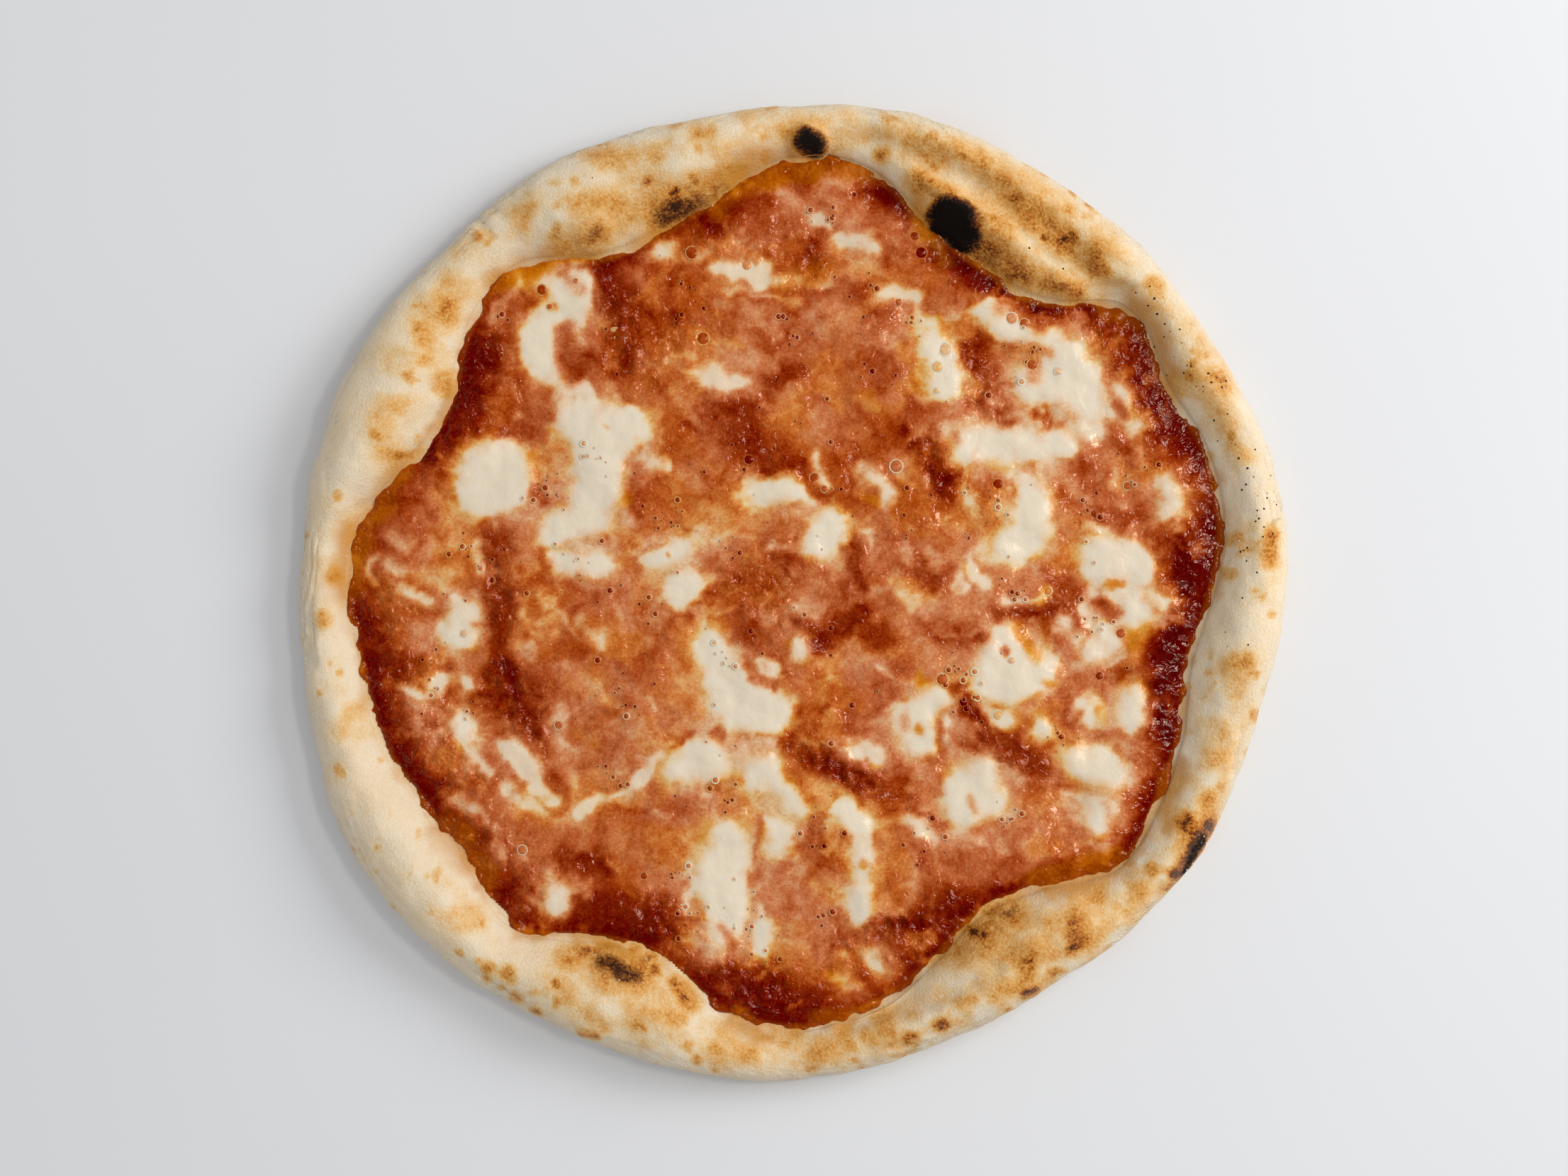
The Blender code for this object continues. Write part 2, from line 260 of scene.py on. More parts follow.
def round_the_pizza(values, angle):
    """A smooth closed curve through one value for each column, at any angle."""
    place = (angle / math.tau % 1.0) * COLUMNS
    first = np.floor(place).astype(int)
    part = (place - first)
    part = part.reshape(part.shape + (1,) * (values.ndim - 1))
    before, start, end, after = (values[(first + step) % COLUMNS] for step in (-1, 0, 1, 2))
    bend = 2 * before - 5 * start + 4 * end - after
    return start + 0.5 * part * (end - before + part * (bend + part * (3 * (start - end) + after - before)))


def height_map(name, missing):
    """How high a solid's top is, all over the map."""
    solid = nodes[name]
    corners = [v.co / MM for v in solid.data.vertices]
    tree = BVHTree.FromPolygons(corners, [p.vertices for p in solid.data.polygons])
    low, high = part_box(name)
    heights = np.full(map_x.shape, missing)
    inside = (map_x > low.x / MM) & (map_x < high.x / MM) & (map_y > low.y / MM) & (map_y < high.y / MM)
    down = Vector((0, 0, -1))
    for i, j in zip(*np.nonzero(inside)):
        hit = tree.ray_cast(Vector((map_x[i, j], map_y[i, j], 100.0)), down)[0]
        if hit is not None:
            heights[i, j] = hit.z
    return heights


foot = round_the_pizza(sauce_edge, map_angle)
inward = foot - map_radius
print("columns read; the sauce reaches", round(float(sauce_edge.max()), 1), "mm out")

# %% [markdown]
# ## Cheese, cream, dark sauce and oil
#
# The cheese pools come from their solids: each is drawn on the map, blurred and pushed about, so
# that its edge is soft and ragged. Between them melted cheese has run into the sauce as a milky
# veil, paler here and there, and where there is none the sauce is dark red. Orange oil has parted
# from the sauce along its edge. These faint patches are too thin to be solids, so they are painted
# as strokes, read off the reference.

# %% Cheese pools on the map
POOL_BLUR = 2.1


def pool_map(name):
    """How surely a place is on this pool: 1 inside, 0.5 on its edge and 0 outside."""
    on_pool = (height_map(name, -1.0) > 0).astype(float)
    soft = softened(on_pool, POOL_BLUR)
    return read_map(soft, map_x + 0.45 * sway_x, map_y + 0.45 * sway_y)


pool_maps = {name: pool_map(name) for name in pool_names}
cheese = np.max(list(pool_maps.values()), axis=0)
print("cheese covers", round(float((cheese > 0.5).mean() * (2 * REACH) ** 2 / 100)), "square cm")

# %% Milky veil, dark sauce and oil
PALE = (
    (-84, 97, -88, 84, 2.4, 0.66), (-77, 96, -70, 97, 4, 0.8), (-76, 72, -73, 65, 3.2, 1.0),
    (-73, 65, -64, 59, 3.4, 1.0), (-66, 58, -58, 57, 3.4, 0.95), (-50, 62, -40, 57, 4, 0.5),
    (-40, 103, -30, 104, 3.6, 0.9), (-24, 99, -18, 97, 3.4, 0.95), (-18, 97, -13, 96, 4.2, 1.1),
    (-12, 98, -3, 97, 3, 0.8), (1, 96, 10, 96, 3, 0.68), (-21, 91, 3, 90, 2.0, 0.75), (-23, 86, -11, 84, 4, 0.6),
    (-35, 74, -32, 73, 2.6, 0.7), (-31, 70, -18, 63.5, 3.6, 0.95), (-5, 121, 2, 116, 3.6, 0.7),
    (5, 114.5, 9, 113.5, 2.4, 0.95), (15, 110, 23, 107, 4, 0.85), (10, 125, 16, 127, 3, 0.5),
    (37, 108, 38, 106, 3, 0.55), (28, 92, 38, 89, 3.6, 0.85), (44, 89, 48, 83, 3.4, 0.6), (38, 86, 38.5, 68, 2.8, 0.8),
    (86, 77, 89, 74, 2.6, 0.8), (70, 79, 80, 78, 2.0, 0.9), (94, 62, 101, 52, 3.4, 0.85), (84, 54, 92, 49, 3.6, 0.9),
    (46, 50, 52, 42, 3.4, 0.85), (36, 62, 40, 58, 2.4, 0.6),
    (7, 41, 9, 34, 2.4, 0.85), (22, 36, 29, 28, 4.2, 0.85), (30, 42, 34, 34, 2.6, 0.62), (11, 54, 12, 50, 3.6, 0.5),
    (54, 32, 56, 28, 1.8, 0.95), (45, 22, 58, 20, 4, 0.6), (58, 26, 66, 24, 5, 0.8), (60, 14, 66, 10, 5, 0.8),
    (54, 8, 57.5, 2, 3.2, 0.98), (49, 8, 51, 3, 2.6, 0.8), (31, 3, 38, -4, 3.4, 0.72), (66, -2.5, 77, 0, 2.2, 0.88),
    (42, 14.5, 44.5, 12, 1.8, 0.8), (33, 16, 36, 12, 3, 0.6), (20, 19.5, 23, 14.5, 1.8, 0.75), (65, 37, 76, 32, 4, 0.9),
    (56, -3, 60, -8, 2.4, 0.5), (0, -2.5, 8, -5, 2.8, 0.58),
    (80, 36, 90, 29, 4, 0.66), (112, 35, 117, 25, 3.8, 0.8), (98, 36, 103, 32, 2.6, 0.62),
    (100, 28, 103, 26, 2.4, 0.62), (88, 19.5, 93, 19, 2.0, 0.85), (92, 1, 103, 0, 2.6, 0.98), (103, -1, 112, -4, 3.2, 0.98),
    (89, -3, 92, -8, 2.8, 0.88), (84, -10, 88, -13, 3, 0.8), (89, -33, 93, -38, 3, 0.88), (82, -60, 88, -62, 2.6, 0.7),
    (90, -3, 92, -8, 2.2, 0.72), (85, -23, 90, -25, 3, 0.66), (98, -22, 96, -24, 2.6, 0.66), (95, 40, 96, 44, 3, 0.52),
    (-47, 41, -39, 39, 3.2, 0.85), (-54, 31, -49, 24, 3.6, 0.7), (-44, 9, -36, 14, 3.4, 0.95), (-36, 15, -30, 18, 2.6, 0.85),
    (-37, -2, -32, 4, 3.2, 0.92), (-29, 21, -12, 17, 3.2, 0.62), (-18, 30, -11, 33, 2.0, 0.82),
    (-11, 33.5, -3, 32.5, 2.2, 0.95), (-3, 32, 5, 27.5, 2.2, 0.95), (-12, 28, -4, 28, 3, 0.62), (-6, 16, -3, 15.5, 2, 0.88),
    (-64, -9, -58, -15, 3.6, 0.75), (-56, -4, -52, -8, 3, 0.55), (-29, -7, -27, -14, 3, 0.78), (-38, 41, -28, 34, 4, 0.5),
    (-124, 20, -118, 16, 3, 0.66), (-122, 10, -112, 6, 4, 0.7), (-120, 3, -112, -1, 2.4, 0.82), (-113, 8, -104, 3, 4, 0.7),
    (-112, 14, -104, 17, 4, 0.62), (-97, 14, -96, 9, 2.6, 0.85), (-102, -1, -98, -6, 2.4, 0.88),
    (-107, -10, -102, -14, 3.4, 1.0), (-104, -6, -100, -3, 2.6, 0.92), (-128, 12, -128, 2, 2.2, 0.8),
    (-112, 32, -108, 24, 5, 0.5), (-82, -5, -75, -8, 3, 0.7), (-84, -15, -81, -16, 2.4, 0.66), (-76, -2, -68, -12, 2.4, 0.72),
    (-62, -12, -60, -15, 4, 0.7), (-68, -29, -66, -28, 4, 0.6),
    (-118, -31, -110, -29, 1.8, 0.82), (-110, -28.6, -98, -27, 2.2, 0.98), (-102, -46, -94, -55, 2.6, 0.85),
    (-88, -47, -80, -54, 4.2, 0.95), (-80, -52, -77, -60, 4, 0.9), (-74, -37.6, -71, -38, 3, 0.92),
    (-72, -41, -69, -49, 3.6, 0.78), (-86, -61, -78, -67, 3.8, 0.75), (-69, -52, -66, -58, 3.5, 0.64),
    (-66, -68, -58, -63.5, 2.8, 0.92), (-58, -63, -53, -61, 3, 0.78), (-102, -62, -95, -67, 2.6, 0.78),
    (-92, -70, -90, -78, 2.2, 0.7), (-85, -76, -81, -79, 2, 0.78), (-70, -24, -60, -30, 4, 0.66), (-64, -33, -54, -34, 3, 0.6),
    (-80, -94, -78, -95, 3, 0.66), (-36, -26, -34, -28, 4, 0.55), (25, -24, 30, -26, 2, 0.7), (12, -25, 9, -30, 3, 0.66),
    (-58, -64, -50, -58, 2.6, 0.82), (-50, -57, -43, -52, 2.6, 0.92), (-4, -59, 2, -65, 3, 0.92), (-8, -70, -3, -76, 2.8, 0.98),
    (-42, -66, -37, -68, 2.4, 0.75), (-43, -32, -42, -33, 1.6, 0.72), (-30, -62, -24, -62, 2, 0.55), (12, -65, 18, -70, 3, 0.92),
    (-32, -38, -26, -38, 2.2, 0.66), (18, -45, 25, -50, 3.8, 0.88), (40, -29, 46, -34, 3, 0.85), (46, -38, 49, -42, 2.6, 0.9),
    (34, -70, 44, -76, 3.6, 0.84), (48, -72, 62, -76, 5, 0.64), (82, -13, 88, -14, 3, 0.64), (3, -42, 5, -46, 2.6, 0.56),
    (-31, -80, -31, -96, 3.2, 0.72), (-9, -96, -8, -100, 2, 0.74), (-10, -103, -10, -107, 2.2, 0.98),
    (-11, -110, -10, -114, 1.4, 0.66), (12, -110, 14, -112, 2.6, 0.7), (20, -112, 26, -114, 3, 0.98),
    (12, -117, 18, -121, 3, 0.72), (2, -92, 6, -96, 4, 0.52), (-35, -106, -26, -108, 3.6, 0.72),
)
STAINED = (
    (-77, 92, -77, 92.5, 1.4, 0.7), (-74.5, 88, -74, 88, 1.3, 0.6), (-80, 93, -80, 90, 1.6, 0.6), (-68, 95, -66, 92, 2, 0.5),
    (-71, 97, -69, 96, 1.6, 0.6), (-70, 80, -69, 66, 3.2, 0.95), (68.5, 87, 74, 81, 2.8, 0.95), (62, 87, 62.5, 87, 2.4, 0.5),
    (72, 71, 73, 66, 2.8, 0.65), (66, 76, 78, 73.5, 1.8, 0.6), (97, 58, 99.7, 55, 1.6, 0.9), (95, 63, 96, 60, 1.2, 0.5),
    (13, 25.5, 13.4, 25, 0.9, 0.6), (69, -13, 73, -19, 1.8, 0.5), (63.3, -17.4, 63.8, -17.8, 1.3, 0.9), (57, 27, 60, 22, 2.4, 0.5),
    (94, -2, 97, -6, 2.6, 0.95), (107, -2, 110, -5, 1.8, 0.35), (99, -11, 102, -15, 2.2, 0.6), (96, 3.4, 100, 2.8, 1.0, 0.6),
    (-73, -54.5, -71.5, -55.5, 2, 0.7), (-15, -20, -13, -24, 1.6, 0.8), (-13, -26, -6, -28, 1.6, 0.8), (-10, -22, -9, -24, 1.4, 0.35),
    (37, -41, 38, -42.5, 1.4, 0.7), (33, -37, 33.5, -41, 1.6, 0.45), (54, -62, 55.4, -66, 1.3, 0.5), (82, -57, 98, -60.5, 2.6, 0.42),
    (94, -63, 98, -72, 1.6, 0.4), (20.6, -81.5, 21, -82, 1.3, 0.7), (-39, 11.6, -38.8, 11.3, 0.9, 0.7), (50, 47, 44, 44, 2.0, 0.6),
    (-79, -41.5, -78, -42, 1, 0.5), (-58, 51.5, -57, 50.8, 0.8, 0.4), (-22, -102, -20, -106, 1.6, 0.6), (76, -27, 78.6, -28.5, 1.4, 0.5),
)
DARK = (
    (-101, 60, -93, 76, 7, 0.8), (-99, 54, -112, 44, 5, 0.7), (-62, 97, -54, 92, 6, 0.8),
    (-54, 94, -52, 72, 4.5, 0.75), (-60, 104, -45, 108, 4.5, 0.75), (-47, 84, -52, 70, 5, 0.6),
    (-45, 109, -25, 112, 3.6, 0.75), (24, 127, 36, 118, 4.6, 0.7), (42, 105, 60, 97, 5, 0.95),
    (60, 97, 79, 85, 5, 1.0), (23, 92, 26, 90, 4.6, 0.8), (5, 106, 8, 103, 4, 0.6),
    (-10, 66, 1, 69, 3.4, 0.72), (-17, 54, -8, 40, 8, 0.66), (33, 50, 37, 46, 3.6, 0.75),
    (42, 44, 46, 34, 5, 0.8), (54, 66, 56, 75, 4.4, 0.66), (63, 62, 64, 66, 3.4, 0.5),
    (67, 53, 84, 52.5, 3.4, 0.7), (64, 50, 66, 48, 3, 0.7), (47, 36, 48, 28, 4, 0.6),
    (90, 83, 102, 68, 5.5, 0.5), (105, 62, 114, 50, 7, 0.75), (118, 42, 127, 20, 5, 0.7),
    (119, 16, 119, 2, 6.5, 1.0), (116, -8, 112, -22, 6, 1.0), (111, -28, 112, -42, 4.6, 1.0),
    (-14, 2, -4, 8, 7, 0.5), (2, -6, 6, -8, 3.4, 0.6),
    (10, -12, 22, -8, 3.6, 0.8), (7, -10, 9, -15, 3.4, 0.85), (23, -13, 27, -12, 4, 0.66),
    (17, 16, 20, 2, 2.6, 0.7), (42, 8, 42, 4, 3.4, 0.5), (46, -12, 60, -8, 4, 0.6),
    (66, -5, 82, -9, 4.4, 0.8), (52, -26, 54, -36, 3.6, 0.66), (62, -45, 72, -50, 5, 0.7),
    (85, -36, 87, -37, 3, 0.55), (95, -26, 101, -26, 2.6, 0.6), (6, -49, 11, -52, 3.4, 0.8),
    (13, -55, 19, -60, 3.2, 0.9), (24, -62, 33, -66, 4.6, 0.6), (48, -95, 30, -104, 6.5, 0.85),
    (40, -110, 33, -114, 4.6, 0.85), (-14, -121, 6, -127, 7, 0.85), (-30, -112, -16, -118, 5, 0.8),
    (-62, -95, -42, -100, 7, 0.85), (-70, -80, -58, -83, 4, 0.75), (-83, -91, -85, -97, 4.4, 0.8),
    (-123, -48, -108, -66, 6.5, 0.85), (-106, -58, -104, -66, 3.6, 0.9), (-95, -73, -93, -71, 2.4, 0.9),
    (-129, -12, -122, -25, 7, 0.85), (-129, -36, -118, -47, 6, 0.75), (-90, 18, -89, -6, 3.4, 0.62),
    (-89, -21, -85, -31, 4.4, 0.95), (-92, -32, -90, -34, 4, 0.85), (-84, -36, -80, -30, 5, 0.6),
    (-38, 84, -44, 80, 4, 0.5), (50, -30, 56, -40, 3.5, 0.75), (56, -42, 66, -50, 4.6, 0.75),
    (-92, 18, -90, -18, 3, 0.72), (49, 73, 58, 56, 4, 0.55), (-88, -25, -82, -38, 5, 0.85),
    (-15, -44, 0, -47, 2.4, 0.55), (0, -47, 20, -58, 4, 0.85), (-69, 75, -63, 72, 2.6, 0.5),
)
OILY = (
    (-14, 129, 6, 131, 5, 0.95), (8, 130, 22, 130, 3, 0.5), (-92, 94, -76, 101, 3.4, 0.9),
    (95, 88, 106, 84, 3.8, 0.95), (107, 82, 115, 67, 3.2, 0.9), (76, -89, 97, -83, 4, 0.95),
    (90, -86, 100, -80, 2.6, 0.8), (-134, 18, -138, 2, 4.4, 0.9), (-120, 36, -128, 26, 3.4, 0.8),
    (-106, -72, -94, -86, 4, 0.95), (-60, -106, -48, -109, 1.8, 0.9), (-20, -128, -8, -134, 2, 0.9),
    (8, -130, 18, -129, 2.2, 0.9), (36, 118, 46, 103, 3.4, 0.8), (-24, 121, -12, 131, 4.5, 0.95), (112, -70, 116, -52, 2.4, 0.8),
    (44, 81, 38, 64, 3, 0.35), (-49, 55, -47, 53, 1.4, 0.9), (-4, 95, 10, 100, 4, 0.3),
    (78, -1, 75, -1.5, 1.6, 0.8), (78, -27, 79, -28, 1.8, 0.7), (36.5, -42, 38, -43, 1.4, 0.8),
    (102, -12, 106, -11, 3, 0.6), (93, -33, 95, -36, 2, 0.7), (38, -25, 39, -27, 2, 0.8),
    (21, 62, 25, 58, 2, 0.5), (62, 40, 65, 39, 2, 0.7), (-50.5, 30, -50, 29.5, 1.6, 0.8),
    (-39, 11.6, -38.8, 11.3, 0.9, 0.9), (13, 25.5, 13.4, 25, 0.9, 1.0), (51, 8.6, 54, 7, 1.2, 0.8),
    (76, 1, 78, -1, 1.6, 0.85), (69, -13, 73, -19, 1.8, 0.85), (22, 29, 25, 28, 1.5, 0.6), (62.5, 10, 63, 9, 0.7, 0.8),
    (100, -12, 102.5, -15, 2.0, 0.8), (96, 3.4, 100, 2.8, 0.9, 0.7), (38, -25.5, 38.6, -26.5, 1.8, 0.9),
    (40.3, -74, 41, -74.5, 1.4, 0.8), (23.5, -52.5, 24.4, -53, 1, 0.9), (76, -27, 78.6, -28.5, 1.4, 0.8),
    (92, -33, 94, -37, 1.4, 0.7), (20.6, -81.5, 21, -82, 1.3, 0.9), (11, -115, 13, -119, 1.6, 0.6),
)
RUMPLED = (
    (-128, -8, -108, -60, 10, 0.9), (-110, -60, -86, -88, 9, 1.0), (-90, -25, -82, -42, 6, 0.8),
    (-92, 15, -88, -10, 4, 0.7), (-100, 52, -96, 75, 6, 0.7), (-60, 100, -50, 72, 6, 0.8), (-40, 68, -34, 82, 5, 0.5),
    (-44, -98, -5, -125, 9, 0.8), (20, -108, 45, -100, 8, 0.7), (-130, 12, -126, 0, 4, 1.0), (-110, 40, -104, 46, 6, 0.6),
    (52, 70, 58, 56, 5, 0.8), (88, 84, 105, 62, 6, 0.5), (40, 44, 46, 34, 4, 0.6), (4, -48, 20, -58, 5, 0.8),
    (-14, 4, -4, -8, 8, 0.5), (-30, 106, 10, 100, 6, 0.4), (84, 78, 90, 74, 3, 0.6), (60, -48, 72, -52, 5, 0.5),
)
swirled = map_points + 2.2 * np.stack([sway_x, sway_y, 0 * sway_x], axis=-1)
veil_noise = clouds(swirled, 17.0, 31) * 0.12 + clouds(swirled, 6.5, 41, 3) * 0.12
ragged = clouds(map_points, 5.0, 55, 4)
fringe = smooth_step(softened(cheese, 4.6) + 0.24 * clouds(swirled, 6.0, 58, 3), 0.04, 0.62)
shore = smooth_step(inward, 0.5, 12.0 + 5 * hills(map_points, 18.0, 51))
dark = painted(DARK, edge=0.7)
pale = painted(PALE, edge=0.95, sway=1.2)
milk = (0.42 + veil_noise) * shore
milk = milk * (1 - 0.85 * dark)
halo = painted(PALE, edge=0.95, sway=1.2, wider=2.4)
milk = np.maximum(milk, 0.70 * halo * (0.9 + 1.8 * veil_noise + 0.16 * ragged))
milk = np.maximum(milk, pale * (0.96 + 1.4 * veil_noise + 0.16 * ragged))
milk = milk + (0.76 - milk) * fringe * (milk < 0.76)
milk = np.clip(milk, 0, 0.93)
in_pool = smooth_step(cheese + 0.24 * ragged, 0.16, 0.92)
milk = milk + (1.0 - milk) * in_pool
stained = painted(STAINED, edge=0.8, sway=0.5)
milk = milk * (1 - 0.62 * stained)
edge_ring = (1 - smooth_step(inward, 2.0, 8.0)) * smooth_step(inward, 0.0, 2.0)
depth = np.clip(0.35 * dark + 0.65 * smooth_step(dark, 0.86, 1.0) + 0.12 * edge_ring, 0, 1)
rim_of_oil = (1 - smooth_step(inward, 0.0, 1.5)) * (0.75 + 0.4 * hills(map_points, 9.0, 61))
pool_edge = smooth_step(cheese, 0.05, 0.3) * (1 - smooth_step(cheese, 0.4, 0.75))
warm = smooth_step(clouds(swirled, 13.0, 71, 4), -0.5, 0.9)
warm = np.clip(0.75 * warm + 0.35 * pool_edge, 0, 1)
oil_patches = smooth_step(clouds(swirled, 6.0, 75, 3), 0.62, 1.1)
oil = np.maximum(painted(OILY, edge=0.7), rim_of_oil)
oil = np.clip(oil + oil_patches * (0.06 + 0.5 * pool_edge) * (1 - depth), 0, 1)
rumpled = np.clip(0.24 + painted(RUMPLED, edge=0.9), 0, 1)
print("painted", len(PALE), "pale,", len(DARK), "dark and", len(OILY), "oily strokes")

# %% [markdown]
# ## How high the topping lies
#
# The sauce is a thin wet layer. It thins out to nothing at its edge, where it climbs a little way
# up the rim. Its surface is lumpy with pulp where it is red, and smoother where cheese lies in it.

# %% Heights of the topping
SAUCE_TAPER = 4.5
CHEESE_RISE = 0.45
dough_height = softened(height_map("crust", 0.0), 1.2)
sauce_solid = height_map("tomato_sauce", 0.0)
edge_wave = 0.9 * clouds(map_points, 6.0, 81, 4)
sauce_depth = np.where(sauce_solid > 0, sauce_solid - dough_height, 1.3)
sauce_depth = np.clip(softened(sauce_depth, 3.0), 0.8, 3.0)
shore_depth = inward + edge_wave
taper = 1 - np.exp(-np.maximum(shore_depth, 0) / SAUCE_TAPER)
sinking = np.minimum(shore_depth, 0) * 1.8
lumps = np.abs(clouds(map_points, 4.6, 91, 3))
pulp = 1.35 * (0.42 - lumps) + 0.30 * clouds(map_points, 1.8, 101, 2)
ripple = 0.5 * clouds(map_points, 12.0, 111)
redness = 1 - smooth_step(milk, 0.15, 0.75)
wrinkled = (0.35 + 0.65 * redness) * rumpled * (1 - 0.85 * smooth_step(cheese, 0.2, 0.8))
rumple = np.clip((0.25 + 0.75 * redness) * (0.25 + 0.9 * rumpled), 0.12, 1)
sauce_top = dough_height + sauce_depth * taper + sinking + (pulp * wrinkled + ripple) * taper
cheese_top = CHEESE_RISE * (smooth_step(softened(cheese, 1.8), 0.04, 0.95) - 0.14)
print("sauce stands", sauce_top[map_radius < 100].mean().round(2), "mm above the table")

# %% [markdown]
# ## Meshes from arrays
#
# A heightfield piece is a square sheet of small cells, cut to its outline, with a skirt and a flat
# bottom so that it is a closed body. What the map says is stored at each point as an attribute,
# which the material reads.

# %% Build sheets
def add_piece(name, mesh, material, replaced):
    """Adds a finished mesh to the pizza and hides the solids it stands for."""
    mesh.shade_smooth()
    mesh.materials.clear()
    mesh.materials.append(material)
    piece = bpy.data.objects.new(name, mesh)
    bpy.context.scene.collection.objects.link(piece)
    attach(piece, "root")
    if replaced:
        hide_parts(*replaced)
    return piece


def store(mesh, name, values):
    """Keeps one number for each of a mesh's points."""
    mesh.attributes.new(name, "FLOAT", "POINT").data.foreach_set("value", np.asarray(values, np.float32))


def sheet_mesh(name, kept, top, cell, bottom):
    """A closed sheet over the grid cells that are kept, its top at a map's heights (mm)."""
    count = int(2 * REACH / cell)
    line = -REACH + cell * np.arange(count + 1)
    x, y = np.meshgrid(line, line, indexing="ij")
    inside = read_map(kept.astype(float), x, y) > 0.5
    whole = inside[:-1, :-1] & inside[1:, :-1] & inside[:-1, 1:] & inside[1:, 1:]
    used = np.zeros_like(inside)
    for di in (0, 1):
        for dj in (0, 1):
            used[di:di + count, dj:dj + count] |= whole
    index = np.full(inside.shape, -1)
    index[used] = np.arange(used.sum())
    corners = np.stack([x[used], y[used], read_map(top, x, y)[used]], axis=-1)
    i, j = np.nonzero(whole)
    faces = np.stack([index[i, j], index[i + 1, j], index[i + 1, j + 1], index[i, j + 1]], axis=-1)
    mesh = bpy.data.meshes.new(name)
    mesh.from_pydata((corners * MM).tolist(), [], faces.tolist())
    body = bmesh.new()
    body.from_mesh(mesh)
    rim = [edge for edge in body.edges if edge.is_boundary]
    wall = bmesh.ops.extrude_edge_only(body, edges=rim)["geom"]
    for vertex in (part for part in wall if isinstance(part, bmesh.types.BMVert)):
        vertex.co.z = bottom * MM
    lower = [part for part in wall if isinstance(part, bmesh.types.BMEdge) and part.is_boundary]
    floor = bmesh.ops.triangle_fill(body, edges=lower, use_beauty=False)["geom"]
    bmesh.ops.recalc_face_normals(body, faces=body.faces)
    body.to_mesh(mesh)
    body.free()
    points = np.empty(len(mesh.vertices) * 3)
    mesh.vertices.foreach_get("co", points)
    points = points.reshape(-1, 3) / MM
    for label, field in (("milk", milk), ("depth", depth), ("warm", warm), ("oil", oil), ("rumple", rumple)):
        store(mesh, label, read_map(field, points[:, 0], points[:, 1]))
    return mesh, len(floor)


print("sheet builder ready")

# %% [markdown]
# ## Tomato sauce with melted mozzarella
#
# Cooked tomato pulp is a thick red gel, dark where it is deep. Mozzarella that melts over it gives
# a milky, orange veil, and pure cheese is a warm off-white. So one material serves both, led by how
# much milk there is at each place. Fine noise grains it: drops of fat and pulp about a millimetre
# across. It is wet, so it has a low roughness under a bumpy skin that breaks the light into sparks.

# %% The topping's material
MILK_STOPS = (0.0, 0.10, 0.22, 0.34, 0.46, 0.58, 0.70, 0.82, 1.0)
SALMON = ("#6F0000", "#881C00", "#A03908", "#B75426", "#CA6E3E", "#D98A5B", "#E3A97A", "#EECAA6", "#EFE0C7")
ORANGE = ("#710000", "#8B1C00", "#A53800", "#BB530C", "#D06F21", "#E18D3B", "#E9AD5F", "#EFCC97", "#EFE0C7")
DEEP = ("#560000", "#630000", "#7B1600", "#9B3704", "#BD5F30", "#D28454", "#E1A679", "#EDCAA6", "#EFE0C7")
GOLD = ("#9D4200", "#B25600", "#C56A00", "#D27904", "#DD8813", "#E59928", "#ECB050", "#EFCC92", "#EFE0C7")


